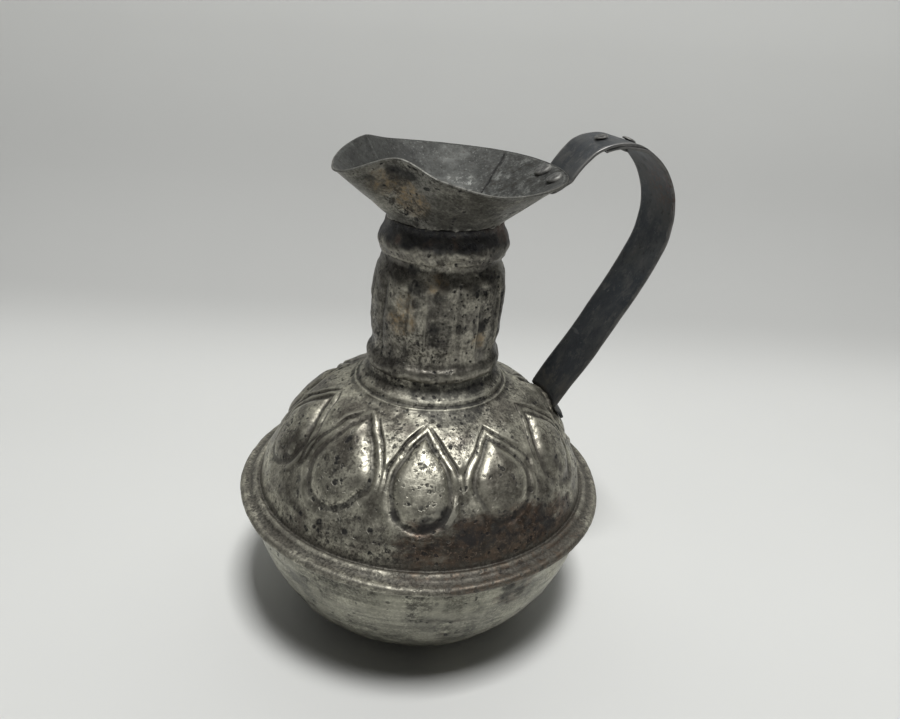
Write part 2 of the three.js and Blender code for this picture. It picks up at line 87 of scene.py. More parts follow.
# The handle: its outer face follows one line in the plane y = 0, from the funnel's wall over ARCH to the dome
STRAP_WIDTH = 32.6
STRAP_THICKNESS = 1.7
STRAP_SIDES = np.linspace(1, -1, 25) * STRAP_WIDTH / 2
WALL_STATIONS = (0.7, 1.0)
WALL_ROWS = 14
FOOT_STATIONS = (0.5, 0.395)
FOOT_RAISE, FOOT_CUPPED = DROP_TOP + GAP + STRAP_THICKNESS, 0.7
FADE = 36
SOLDER_AT = 0.5
SOLDER_BELOW, SOLDER_LONG, SOLDER_HIGH = 1.5, 3.4, 1.9
LAP_START, LAP_END, LAP_FEATHER = 21, 45, 10
LAP_DROP = STRAP_THICKNESS - 0.15
THIN_END = 0.25
ARCH = [
    (69.0, 172.8), (75.2, 179.2), (84.6, 182.2), (94.2, 181.2), (103.6, 176.2), (111.6, 168.2),
    (117.0, 158.2), (119.3, 147.0), (118.4, 134.6), (114.6, 123.4), (106.4, 106.5), (91.6, 80.4),
    (78.5, 57.6),
]

# Rivets: where they are, and radius and height of each hammered head and tail
MOUTH_RIVETS, MOUTH_RIVET_AT = (-7.2, 10.2), 0.84
MOUTH_HEAD, MOUTH_TAIL = (4.6, 2.3), (3.3, 1.3)
ARCH_RIVETS = (25, 40)
ARCH_HEAD, ARCH_TAIL = (3.7, 1.3), (2.6, 0.9)
LOOSE = 2 * GAP
SHANK = 1.8


# Small helpers


def rise(x, a, b):
    """Smoothly from 0 at a to 1 at b."""
    t = np.clip((np.asarray(x, float) - a) / (b - a), 0, 1)
    return t * t * (3 - 2 * t)


def hump(x, middle, width):
    """A smooth hump of height 1."""
    return np.exp(-(((x - middle) / width) ** 2))


def softmax(a, b, width):
    return (a + b + np.sqrt((a - b) ** 2 + width**2)) / 2


def unit(v):
    return v / np.maximum(np.linalg.norm(v, axis=-1, keepdims=True), 1e-12)


def once_round(count):
    """Even steps of angle once round, as one row."""
    return np.arange(count)[None, :] * 2 * math.pi / count


def turned_back(angle):
    """The same angle between -pi and pi."""
    return (angle + math.pi) % (2 * math.pi) - math.pi


def lengths_along(line, power=1.0):
    """How far along a line each of its points is, with each step raised to a power."""
    steps = np.linalg.norm(np.diff(line, axis=0), axis=1)
    return np.concatenate([[0], np.cumsum(np.maximum(steps, 1e-9) ** power)])


def spline(points, t):
    """Uniform Catmull-Rom with held ends, t from 0 to 1."""
    p = np.asarray(points, float)
    n = len(p)
    s = np.clip(np.asarray(t, float) * (n - 1), 0, n - 1)
    i = np.minimum(s.astype(int), n - 2)
    w = (s - i)[..., None]
    p0, p1 = p[np.maximum(i - 1, 0)], p[i]
    p2, p3 = p[i + 1], p[np.minimum(i + 2, n - 1)]
    v0, v1 = (p2 - p0) / 2, (p3 - p1) / 2
    return (2 * p1 - 2 * p2 + v0 + v1) * w**3 + (3 * p2 - 3 * p1 - 2 * v0 - v1) * w**2 + v0 * w + p1


def centripetal(points, per):
    """A smooth line through uneven points that never loops."""
    p = np.asarray(points, float)
    p = np.vstack([2 * p[0] - p[1], p, 2 * p[-1] - p[-2]])
    out = []
    for k in range(1, len(p) - 2):
        q = p[k - 1 : k + 3]
        t = lengths_along(q, 0.5)
        x = np.linspace(t[1], t[2], per, endpoint=False)[:, None]

        def blend(a, b, i, j):
            return (t[j] - x) / (t[j] - t[i]) * a + (x - t[i]) / (t[j] - t[i]) * b

        a = [blend(q[i], q[i + 1], i, i + 1) for i in range(3)]
        b = [blend(a[i], a[i + 1], i, i + 2) for i in range(2)]
        out.append(blend(*b, 1, 2))
    out.append(p[-2][None])
    return np.vstack(out)


def resample(line, step):
    s = lengths_along(line)
    t = np.linspace(0, s[-1], max(int(round(s[-1] / step)), 2) + 1)
    return np.stack([np.interp(t, s, line[:, k]) for k in range(line.shape[1])], axis=1)


def wobble(p, size, seed, octaves=3):
    """Smooth random field in -1..1 over points p (mm); size is the width of its bumps."""
    rng = np.random.default_rng(seed)
    total = np.zeros(p.shape[:-1])
    weight = 0.0
    for octave in range(octaves):
        for _ in range(7):
            d = unit(rng.normal(size=3))
            k = 2 * math.pi / (size * rng.uniform(0.7, 1.4)) * 2**octave
            total += np.sin(p @ d * k + rng.uniform(0, 2 * math.pi)) * 0.5**octave
        weight += 7 * 0.25**octave
    return np.clip(total / math.sqrt(weight) / 1.3, -1, 1)


def lean(r, angle, z):
    """Points round the jug's axis, which leans towards the handle above the brim."""
    x = r * np.cos(angle) + NECK_LEAN * np.maximum(z - BRIM, 0)
    return np.stack([x, r * np.sin(angle), z + 0 * x], axis=-1)


def raised(line, height):
    """Radius and height of a profile line raised along its own normals."""
    tangent = unit(np.gradient(line, axis=0))
    return line[:, :1] + height * tangent[:, 1:], line[:, 1:] - height * tangent[:, :1]


def grid_normals(p):
    """Unit normals of a grid of points: rows run along the profile, columns once round the axis."""
    across = (np.roll(p, -1, axis=1) - np.roll(p, 1, axis=1)) / 2
    return unit(np.cross(across, np.gradient(p, axis=0)))


def hollow_of(p, normals, reach):
    """How far each point lies under the mean of its surroundings: + in grooves, - on crests."""
    steps = range(-reach, reach + 1)
    mean = sum(p[np.clip(np.arange(len(p)) + k, 0, len(p) - 1)] for k in steps) / len(steps)
    mean = sum(np.roll(mean, k, axis=1) for k in steps) / len(steps)
    return np.sum((mean - p) * normals, axis=-1)


def every(rows, step):
    """Each step-th row and the last one."""
    return np.unique(np.concatenate([np.arange(0, rows, step), [rows - 1]]))


def link(name, data, matrix=Matrix()):
    obj = bpy.data.objects.new(name, data)
    obj.matrix_world = matrix
    bpy.context.scene.collection.objects.link(obj)
    return obj


class Shell:
    """Collects grids of vertices and faces and turns them into one mesh object."""

    def __init__(self):
        self.points, self.faces, self.fields, self.total = [], [], {}, 0

    def add(self, p, **fields):
        p = np.asarray(p, float)
        index = np.arange(p[..., 0].size).reshape(p.shape[:-1]) + self.total
        self.points.append(p.reshape(-1, 3))
        for name, value in fields.items():
            value = np.broadcast_to(np.asarray(value, float), p.shape[:-1]).reshape(-1)
            self.fields.setdefault(name, []).append(value)
        self.total += index.size
        return index

    def quads(self, index, closed=True):
        """Faces between neighbouring rows of a grid of indices."""
        if closed:
            index = np.concatenate([index, index[:, :1]], axis=1)
        a, b = index[:-1, :-1], index[:-1, 1:]
        c, d = index[1:, 1:], index[1:, :-1]
        self.faces.append(np.stack([a, b, c, d], axis=-1).reshape(-1, 4))

    def close_ends(self, index, p, **fields):
        """Fans of triangles over the first and the last ring of a grid."""
        for row, sign in ((0, -1), (-1, 1)):
            centre = self.add(p[row].mean(axis=0)[None], **fields)[0]
            pair = (index[row], np.roll(index[row], -1))[::sign]
            self.faces.append(np.stack([np.full_like(pair[0], centre), *pair], axis=1))

    def build(self, name, material, slot):
        verts = np.vstack(self.points) * MM
        faces = sorted(self.faces, key=lambda block: -block.shape[1])
        loops = np.concatenate([block.reshape(-1) for block in faces])
        sizes = np.concatenate([np.full(len(block), block.shape[1]) for block in faces])
        starts = np.concatenate([[0], np.cumsum(sizes)[:-1]])
        mesh = bpy.data.meshes.new(name)
        mesh.vertices.add(len(verts))
        mesh.vertices.foreach_set("co", verts.reshape(-1).astype(np.float32))
        mesh.loops.add(len(loops))
        mesh.loops.foreach_set("vertex_index", loops.astype(np.int32))
        mesh.polygons.add(len(starts))
        mesh.polygons.foreach_set("loop_start", starts.astype(np.int32))
        mesh.polygons.foreach_set("use_smooth", np.ones(len(starts), bool))
        mesh.update(calc_edges=True)
        mesh.validate()
        for field, chunks in self.fields.items():
            data = np.concatenate(chunks).astype(np.float32)
            mesh.attributes.new(field, "FLOAT", "POINT").data.foreach_set("value", data)
        mesh.materials.append(material)
        obj = link(name, mesh)
        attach(obj, "root")
        return obj


def two_sided(outer, inner=None, inner_rows=1, reach=4):
    """One closed body from its outer grid: the inner face, a sheet's thickness in, and rounded edges."""
    normals = grid_normals(outer)
    hollow = hollow_of(outer, normals, reach)
    if inner is None:
        inner, under = outer - normals * SHEET, -hollow
    else:
        under = hollow_of(inner, -normals, reach)
    pick = every(len(outer), inner_rows)[::-1]
    inside = inner[pick]
    shell = Shell()
    front = shell.add(outer, hollow=hollow, inside=0)
    back = shell.add(inside, hollow=under[pick], inside=1)
    along = unit(np.gradient(outer, axis=0))
    rings = []
    for row, sign, opposite in ((-1, 1, 0), (0, -1, -1)):
        top, low = outer[row], inside[opposite]
        bulge = along[row] * sign * SHEET * 0.28
        pair = np.stack([0.82 * top + 0.18 * low + bulge, 0.18 * top + 0.82 * low + bulge])
        # Edges get hollow -0.3, which the tin paints pale as worn crests with a painted highlight
        rings.append(shell.add(pair[::sign], hollow=-0.3, inside=0.5))
    shell.quads(np.concatenate([front, rings[0], back, rings[1], front[:1]]))
    return shell


# Bowl, shoulder, neck and mouth

DOME_T = np.linspace(0, 1, 400)
DOME_LINE = spline(DOME, DOME_T)


def outline_gauge(tip):
    """A teardrop's outline as distance from its centre by direction."""
    y = np.linspace(0, 1, 241)
    low = np.sqrt(np.maximum(1 - ((y - DROP_WIDEST) / DROP_WIDEST) ** 2, 0))
    high = 1 - (np.abs(y - DROP_WIDEST) / (1 - DROP_WIDEST)) ** DROP_POINTEDNESS
    x = np.where(y < DROP_WIDEST, low, high)
    t = DROP_BOTTOM + y * (tip - DROP_BOTTOM) - DROP_CENTRE
    return np.arctan2(t, x), np.hypot(x, t)


def section(s):
    fine = centripetal(DROP_SECTION, 16)
    order = np.argsort(fine[:, 0])
    return np.interp(s, fine[order, 0], np.maximum(fine[order, 1], 0))


def shoulder_relief(angle, t, base):
    """Teardrops with a raised outline that neighbours share, and raised triangles between their tips."""
    rng = np.random.default_rng(7)
    angle = angle + (1.1 * wobble(base, 36, 8, 2) + 0.22 * wobble(base, 11, 13, 1)) * DEG
    t = t + 0.013 * wobble(base, 28, 9, 2) + 0.003 * wobble(base, 11, 14, 1)
    uneven = wobble(base, 15, 10, 2)
    low_end = 0.72 + 0.28 * rise(t, 0.1, 0.34)
    height = np.zeros(t.shape)
    nearest = np.full(t.shape, 9.0)
    for n, tip in enumerate(DROP_TIPS):
        half = (DROP_EDGES[n + 1] - DROP_EDGES[n]) / 2
        away = turned_back(angle - DROP_EDGES[n] - half)
        x, y = away / half / DROP_FILL, t - DROP_CENTRE
        s = np.hypot(x, y) / np.interp(np.arctan2(y, np.abs(x)), *outline_gauge(tip))
        rib = rng.uniform(0.75, 1.1) * (0.88 + 0.35 * uneven) * low_end
        shape = section(s) * np.where(s < DROP_GROOVE, rng.uniform(0.85, 1.05), rib)
        height = np.where(s < nearest, shape, height)
        nearest = np.minimum(nearest, s)
    angle = (angle - DROP_EDGES[0]) % (2 * math.pi) + DROP_EDGES[0]
    place = np.searchsorted(DROP_EDGES, angle, "right") - 1
    share = (angle - DROP_EDGES[place]) / (DROP_EDGES[place + 1] - DROP_EDGES[place])
    touch = 1.35 * hump(np.minimum(share, 1 - share), 0, 0.05) * np.exp(-((t - 0.44) / 0.11) ** 2)
    height = softmax(height, touch, 0.25) - 0.125
    upper = rise(t, 0.47, 0.55) * (1 - rise(t, 0.72, 0.97))
    panel = rise(nearest, 1.04, 1.1)
    return height + upper * (1.35 * panel - 0.2 * hump(nearest, 1.02, 0.02))


def shoulder():
    """The fold round the brim, the ridge and cove above it, the dome, and the collar inside the neck."""
    arc = np.linspace(-90, 90, 15) * DEG
    lip = [(FOLD_CENTRE - FOLD_LIP, BRIM - FOLD_RADIUS)]
    fold = np.stack([FOLD_CENTRE + FOLD_RADIUS * np.cos(arc), BRIM + FOLD_RADIUS * np.sin(arc)], axis=1)
    ridge = [
        (93.2, 2.15), (91.4, 2.6), (90.0, 3.8), (88.8, 4.35), (87.6, 3.9), (86.8, 3.7), (86.3, 4.7),
        (85.8, 6.6), (85.1, 9.6),
    ]
    collar = [
        (39.8, 59.2), (39.2, 60.1), (38.4, 60.2), (37.8, 60.4), (36.4, 62.6), (34.2, 64.3), (32.6, 66.4),
        (31.9, 70.4), (31.9, 76.5),
    ]
    upper = np.vstack([ridge, DOME_LINE[::8], collar]) + (0, BRIM)
    line = resample(np.vstack([lip, fold, centripetal(upper, 8)]), 0.52)
    h = line[:, 1] - BRIM
    t = np.interp(h, DOME_LINE[:, 1], DOME_T)
    on_dome = rise(h, DOME[0][1] - 3, DOME[0][1] + 1)
    on_dome *= 1 - rise(h, DOME[-1][1] - 0.8, DOME[-1][1] + 0.6)
    on_dome[line[:, 0] < DOME[-1][0] - 2] = 0
    a = once_round(900)
    base = lean(line[:, :1], a, line[:, 1:])
    relief = shoulder_relief(a, t[:, None], base) * on_dome[:, None]
    dents = 0.35 * wobble(base, 34, 3) * rise(h, 4, 14)[:, None] + 0.09 * wobble(base, 9, 5, 2)
    r, z = raised(line, relief + dents * rise(line[:, :1], 33, 40))
    r = r - 0.35 * rise(line[:, :1], 92.5, 95) * (0.5 + 0.5 * wobble(base, 40, 11, 2))
    z = z + 0.5 * rise(line[:, :1], 86, 94) * wobble(base, 60, 12, 2)
    return two_sided(lean(r, a, z), inner_rows=4, reach=5)


def bowl():
    """The round lower bowl with its flat base and the edge turned out inside the brim's fold."""
    below = np.cos(np.linspace(0, 1, 90) * math.pi / 2 * 0.992)
    r = BASE_RADIUS + (BOWL_RADIUS - BASE_RADIUS) * (1 - below**1.65) ** (1 / 2.3)
    wall = np.stack([r, (BRIM - FOLD_RADIUS) * (1 - below)], axis=1)
    edge = [(91.6, BRIM - 1.4), (92.1, BRIM - 0.85), (93.2, BRIM - 0.6), (FOLD_CENTRE, BRIM - 0.6)]
    base = np.stack([np.linspace(3, BASE_RADIUS - 0.6, 24), np.zeros(24)], axis=1)
    line = resample(np.vstack([base, wall, edge]), 0.9)
    a = once_round(300)
    p = lean(line[:, :1], a, line[:, 1:])
    free = rise(line[:, 1:], 3, 14) * (1 - rise(line[:, 1:], 64, 71))
    r, z = raised(line, free * (0.4 * wobble(p, 38, 21) + 0.05 * wobble(p, 7, 22, 2) - 0.2))
    outer = lean(r, a, z)
    normals = grid_normals(outer)
    inner = (outer - normals * SHEET)[every(len(outer), 2)[::-1]]
    shell = Shell()
    front = shell.add(outer, hollow=hollow_of(outer, normals, 4), inside=0)
    index = np.concatenate([front, shell.add(inner, hollow=0, inside=1)])
    shell.quads(index)
    shell.close_ends(index, np.concatenate([outer, inner]), hollow=0, inside=0)
    return shell


def neck_relief(a, h, p):
    """Broad flat lobes between uneven grooves, some of them shallow and some with a raised edge."""
    rng = np.random.default_rng(31)
    pitch = 2 * math.pi / LOBES
    depth = np.zeros(p.shape[:-1])
    ridge = np.zeros(p.shape[:-1])
    for n in range(LOBES):
        middle = FIRST_GROOVE + n * pitch + rng.uniform(-1.8, 1.8) * DEG
        drift = rng.uniform(-1.6, 1.6) * DEG
        strength, width = rng.uniform(0.3, 1.2), rng.uniform(0.14, 0.34)
        lift, side = rng.uniform(0, 0.42), rng.choice([-1, 1])
        top, bottom = LOBES_TOP + rng.uniform(-3, 1.5), LOBES_BOTTOM + rng.uniform(-2, 4)
        span = rise(h, bottom, bottom + 7) * (1 - rise(h, top - 6, top))
        x = turned_back(a - middle - drift * (h - 102) / 20) / (pitch / 2)
        groove = hump(x, 0, width) * 0.45 + hump(x, 0, 0.5) * 0.6
        depth = np.maximum(depth, groove * strength * span)
        ridge += hump(x, side * (width + 0.14), 0.09) * lift * span
    return ridge - LOBE_DEPTH * depth * (0.8 + 0.35 * wobble(p, 15, 32, 2))


def neck():
    """The lower bead, the lobed barrel and the upper bead with its broken lip."""
    points = np.array([
        (33.5, 71.0), (34.0, 72.0), (34.3, 73.6), (34.1, 75.2), (33.6, 76.6), (32.6, 78.0), (31.9, 79.6),
        (31.6, 82.2), (31.7, 84.6), (32.4, 90), (32.7, 102), (32.3, 113), (31.2, 120), (29.9, 123.6),
        (29.4, 125.4), (29.9, 127.6), (31.0, 130.2), (31.8, 133.2), (31.4, 136.2), (30.2, 138.8),
        (28.8, 141.2), (28.4, 142.8), (28.1, 144.0),
    ])
    line = resample(centripetal(points + (0, BRIM), 10), 0.5)
    h = line[:, 1:] - BRIM
    a = once_round(448)
    p = lean(line[:, :1], a, line[:, 1:])
    body = rise(h, LOBES_BOTTOM, LOBES_BOTTOM + 6) * (1 - rise(h, LOBES_TOP - 6, LOBES_TOP))
    height = 0.5 * body + neck_relief(a, h, p) + 0.3 * wobble(p, 17, 33) + 0.09 * wobble(p, 5, 34, 2)
    bead = hump(h, 133.2, 3.2) * wobble(p, 14, 35, 2)
    lip = hump(h, 128.8, 0.9) * rise(wobble(p, 13, 36, 3), -0.4, 0.5)
    r, z = raised(line, height + 0.35 * bead + 0.45 * lip - 0.12)
    return two_sided(lean(r, a, z), inner_rows=3)


def rim(angle):
    """Radius and height of the rim by the angle from +X: smooth, and broken only at the far corner."""
    turn = RIM[0, 0] + (np.degrees(angle) - RIM[0, 0]) % 360
    share = np.interp(turn, RIM[:, 0], np.linspace(0, 1, len(RIM)))
    values = spline(RIM[:, 1:], share)
    return values[..., 0], values[..., 1]


def funnel(angle, u):
    """Radius and height of the funnel's outside, u of the way from its foot to the rim."""
    radius, height = rim(angle)
    r = FUNNEL_FOOT[0] + (radius - FUNNEL_FOOT[0]) * u
    h = FUNNEL_FOOT[1] + (height - FUNNEL_FOOT[1]) * u
    return r, BRIM + h


def mouth():
    """The funnel and its skirt, with solder round the foot and a raised crusty layer inside."""
    a = once_round(480)
    u = np.linspace(0, 1, 84)[:, None]
    r, z = funnel(a, u)
    skirt = np.linspace(BRIM + SKIRT_LOW, BRIM + SKIRT_HIGH - GAP, SKIRT_ROWS)[:, None]
    r = np.vstack([SKIRT_RADIUS + 0 * a + 0 * skirt, r])
    z = np.vstack([skirt + 0 * a, z])
    u = np.vstack([np.full((SKIRT_ROWS, 1), -1.0), u])
    above = u > -0.5
    p = lean(r, a, z)
    normals = grid_normals(p)
    free = rise(u, 0.05, 0.3) * (1 - rise(u, 0.96, 1.0))
    p = p - normals * ((0.25 + 0.25 * wobble(p, 24, 41)) * free)[..., None]
    lumps = 0.15 + 0.85 * rise(wobble(p, 10, 43, 4), -0.4, 0.8)
    outer = p + normals * (hump(u, 0.02, 0.035) * above * lumps)[..., None]
    seam = 42.5 + 2.5 * (u - 0.5) + 0.8 * wobble(p, 12, 46, 2)
    side = np.degrees(turned_back(a))
    layer = rise(side, -60, -10) * (1 - rise(side - seam, -1.3, 0.9)) * above
    grain = (0.5 + 0.5 * wobble(p, 6.5, 44, 4)) * (0.3 + 0.7 * layer) * above
    foot = hump(u, 0.1, 0.13) * above * rise(wobble(p, 9, 45, 3), -0.2, 0.5)
    crust = 0.45 * layer * rise(1 - u, 0.0, 0.05) + 0.2 * grain + 0.9 * foot * grain
    return two_sided(outer, inner=p - normals * (SHEET + crust)[..., None], reach=3)


# Handle


def dome_row(t):
    """Radius, height and normal of the dome's profile, t of the way up it."""
    p = spline(DOME, t)
    d = unit(spline(DOME, min(t + 0.005, 1)) - spline(DOME, max(t - 0.005, 0)))
    return p[0], p[1] + BRIM, d[1], -d[0]


def on_foot(t, y):
    """A point of the strap's outer face over the dome, y from its middle."""
    r, z, nr, nz = dome_row(t)
    lift = FOOT_RAISE - FOOT_CUPPED * (2 * y / STRAP_WIDTH) ** 2
    r = r + lift * nr
    return lean(r, np.arcsin(y / r), z + lift * nz)


def wall_frame(u, y):
    """A point of the funnel's outside, y from the handle's middle, and the normal there."""
    step = 0.01
    angle = np.arcsin(y / funnel(0.0, u)[0])

    def point(a, v):
        r, z = funnel(a, v)
        return lean(r, a, z)

    along = point(angle, u + step) - point(angle, u - step)
    around = point(angle + step, u) - point(angle - step, u)
    return point(angle, u), unit(np.cross(around, along))


def on_wall(u, y):
    """A point of the strap's outer face, which lies a gap away from the funnel's wall."""
    p, n = wall_frame(u, y)
    return p + GAP * n


FREE = np.vstack([
    on_wall(WALL_STATIONS[1], 0.0)[[0, 2]],
    np.array(ARCH) + (0, BRIM),
    on_foot(FOOT_STATIONS[0], 0.0)[[0, 2]],
])
FREE_T = np.linspace(0, 1, 2000)
FREE_S = lengths_along(spline(FREE, FREE_T))
FREE_LENGTH = FREE_S[-1]


def on_free(s, y, up=0.0):
    """A point of the strap s along its free line, which takes up the bend of the wall and of the foot."""
    t = np.interp(s, FREE_S, FREE_T)
    x, z = spline(FREE, t)
    d = unit(spline(FREE, min(t + 1e-3, 1)) - spline(FREE, max(t - 1e-3, 0)))
    wall = on_wall(WALL_STATIONS[1], y) - on_wall(WALL_STATIONS[1], 0.0)
    foot = on_foot(FOOT_STATIONS[0], y) - on_foot(FOOT_STATIONS[0], 0.0)
    wall[1] = foot[1] = 0
    wall *= 1 - rise(s, 0, FADE)
    foot *= rise(s, FREE_LENGTH - FADE, FREE_LENGTH)
    return np.array([x - d[1] * up, y, z + d[0] * up]) + wall + foot


def strap(rows, seed, thickness=STRAP_THICKNESS):
    """A closed bar from the grid of its outer face: rounded edges, slightly uneven sides."""
    top = np.array(rows)
    columns = top.shape[1]
    across = unit(np.gradient(top, axis=1))
    n = unit(np.cross(across, np.gradient(top, axis=0)))
    side = np.linspace(-1, 1, columns)[None, :, None]
    rough = wobble(top, 45, seed, 3)[..., None]
    top = top + across * side**9 * (0.2 * rough - 0.2) + n * 0.1 * (wobble(top, 17, seed + 1)[..., None] - 1)
    t = (np.broadcast_to(thickness, len(rows)) - 0.1)[:, None, None]
    low = top - n * t
    edges = []
    for column, sign in ((-1, 1), (0, -1)):
        a, b = top[:, column], low[:, column]
        out = across[:, column] * sign * t[:, 0] * 0.3
        pair = [0.8 * a + 0.2 * b + out, 0.2 * a + 0.8 * b + out]
        edges.append(np.stack(pair[::sign], axis=1))
    ring = np.concatenate([top, edges[0], low[:, ::-1], edges[1]], axis=1)
    right = [columns - 1, columns, columns + 1, columns + 2]
    left = [2 * columns + 1, 2 * columns + 2, 2 * columns + 3, 0]
    hollow = np.zeros(ring.shape[:2])
    hollow[:, right + left] = -0.35
    hollow[:, [1, columns - 2, columns + 3, 2 * columns]] = -0.18
    hollow *= (0.2 + 0.8 * rise(np.arange(len(top))[::-1], 1, 8))[:, None]
    # The inner face is marked inside = 0.4 so that the iron material paints shade on it
    under = np.zeros(ring.shape[:2])
    under[:, columns + 1 : 2 * columns + 3] = 0.4
    shell = Shell()
    index = shell.add(ring, hollow=hollow, inside=under)
    shell.quads(index)
    for end, turn in ((index[0], 1), (index[-1], -1)):
        cap = np.stack([end[:columns], end[columns + 2 : 2 * columns + 2][::-1]])
        shell.quads(cap[::turn], False)
        for corner in (right, left):
            shell.faces.append(end[corner][::-turn][None])
    return shell


def upper_strap():
    """The strip on the funnel's outside, rounded at that end and feathered where the lap ends."""
    shares = np.linspace(*WALL_STATIONS, WALL_ROWS)
    narrow = 1 - 0.3 * np.clip(1 - (shares - shares[0]) / 0.12, 0, 1) ** 2
    stations = np.linspace(0, LAP_END, 46)[1:]
    rows = [[on_wall(u, y * w) for y in STRAP_SIDES] for u, w in zip(shares, narrow)]
    rows += [[on_free(s, y) for y in STRAP_SIDES] for s in stations]
    thinned = rise(stations, LAP_END - LAP_FEATHER, LAP_END) * (STRAP_THICKNESS - THIN_END)
    return strap(rows, 51, STRAP_THICKNESS - np.concatenate([np.zeros(WALL_ROWS), thinned]))


def lower_strap():
    """The strip from under the lap on the arch down to its soldered foot on the dome."""
    stations = np.linspace(LAP_START, FREE_LENGTH, 190)[:-1]
    drops = -LAP_DROP * (1 - rise(stations, LAP_END - LAP_FEATHER, LAP_END + 0.5))
    rows = [[on_free(s, y, drop) for y in STRAP_SIDES] for s, drop in zip(stations, drops)]
    rows += [[on_foot(t, y) for y in STRAP_SIDES] for t in np.linspace(*FOOT_STATIONS, 9)]
    shell = strap(rows, 61)
    add_solder(shell)
    return shell


def add_solder(shell):
    """A lumpy bar of solder that fills the corner between the strap's foot and the dome."""
    y = np.linspace(-0.97, 0.97, 60) * STRAP_WIDTH / 2
    nr, nz = dome_row(SOLDER_AT)[2:]
    out, down = np.array([nr, 0, nz]), np.array([-nz, 0, nr])
    turn = once_round(24).T
    rows = []
    for v in y:
        centre = on_foot(SOLDER_AT, v) - out * (STRAP_THICKNESS + SOLDER_BELOW)
        taper = math.sqrt(max(1 - (v / y[-1]) ** 4, 0.02))
        rows.append(centre + taper * (SOLDER_LONG * np.cos(turn) * down + SOLDER_HIGH * np.sin(turn) * out))
    p = np.array(rows)
    p = p + grid_normals(p) * (0.35 * wobble(p, 6, 91, 3))[..., None]
    index = shell.add(p, hollow=-0.05, inside=1)
    shell.quads(index)
    shell.close_ends(index, p, hollow=0, inside=1)


def rivet(seat, facing, head, tail, grip, seed):
    """An uneven head on its seat, the shank through what it grips, and a smaller hammered tail."""
    turn = np.array(Vector((0, 0, 1)).rotation_difference(Vector(facing).normalized()).to_matrix())
    wide, tall = head
    upper = [
        (wide * 0.93, 0), (wide, tall * 0.18), (wide * 0.98, tall * 0.5), (wide * 0.86, tall * 0.8),
        (wide * 0.55, tall * 0.96), (0.02, tall),
    ]
    wide, tall = tail
    lower = [
        (0.02, -grip - tall), (wide * 0.55, -grip - tall * 0.93), (wide * 0.9, -grip - tall * 0.62),
        (wide, -grip - tall * 0.3), (wide * 0.97, -grip - 0.02), (wide * 0.9, -grip),
    ]
    line = np.vstack([centripetal(lower, 5), [(SHANK, -grip), (SHANK, 0)], centripetal(upper, 6)])
    a = once_round(48)
    rng = np.random.default_rng(seed)
    oval = 0.5 + 0.5 * np.sin(2 * a + rng.uniform(0, 6))
    three = 0.5 + 0.5 * np.sin(3 * a + rng.uniform(0, 6))
    r = line[:, :1] * (1 - 0.05 * (oval + three) * rise(line[:, :1], SHANK, SHANK + 1))
    p = np.stack([r * np.cos(a), r * np.sin(a), line[:, 1:] + 0 * a], axis=-1)
    hammered = 0.16 * (0.5 + 0.5 * wobble(p, 5, seed, 2))
    beyond = np.abs(p[..., 2] + grip / 2) > grip / 2 + 0.3
    p[..., 2] -= np.where(p[..., 2] > 0, hammered, -hammered) * beyond
    p = p @ turn.T + np.asarray(seat)
    shell = Shell()
    index = shell.add(p, hollow=hollow_of(p, grid_normals(p), 2) - 0.05, inside=0)
    shell.quads(index)
    shell.close_ends(index, p, hollow=0, inside=0)
    return shell


def rivets():
    """Two with their heads inside the funnel, and two with their heads on top of the arch."""
    out = []
    for i, y in enumerate(MOUTH_RIVETS):
        p, n = wall_frame(MOUTH_RIVET_AT, y)
        tilt = np.array([0.05, -0.06 + 0.12 * i, 0.05])
        grip = SHEET + LOOSE + GAP + STRAP_THICKNESS + LOOSE
        shell = rivet(p - n * (SHEET + LOOSE), tilt - n, MOUTH_HEAD, MOUTH_TAIL, grip, 71 + i)
        out.append((f"mouth_rivet_{i + 1}", shell))
    for i, s in enumerate(ARCH_RIVETS):
        facing = on_free(s, 0, 1) - on_free(s, 0)
        grip = 2 * GAP + 2 * STRAP_THICKNESS + LOOSE
        shell = rivet(on_free(s, 0, GAP), facing, ARCH_HEAD, ARCH_TAIL, grip, 81 + i)
        out.append((f"arch_rivet_{i + 1}", shell))
    return out


# Materials

# The two darkest colours mark soot, pits, stains and dirt, and also paint shade into hollows and grooves
SOOT_AND_SHADE = (0.011, 0.011, 0.012)
DIRT_AND_SHADE = (0.040, 0.036, 0.030)
BROWN = (0.112, 0.076, 0.054)
TAN = (0.31, 0.225, 0.125)
IRON_WORN = (0.17, 0.17, 0.168)
POOLS = [((22, 32, 225), 5, 8, 1.0), ((16, 50, 238), 3, 8, 0.5)]


def times_color(color, share):
    return tuple(share * c for c in color)


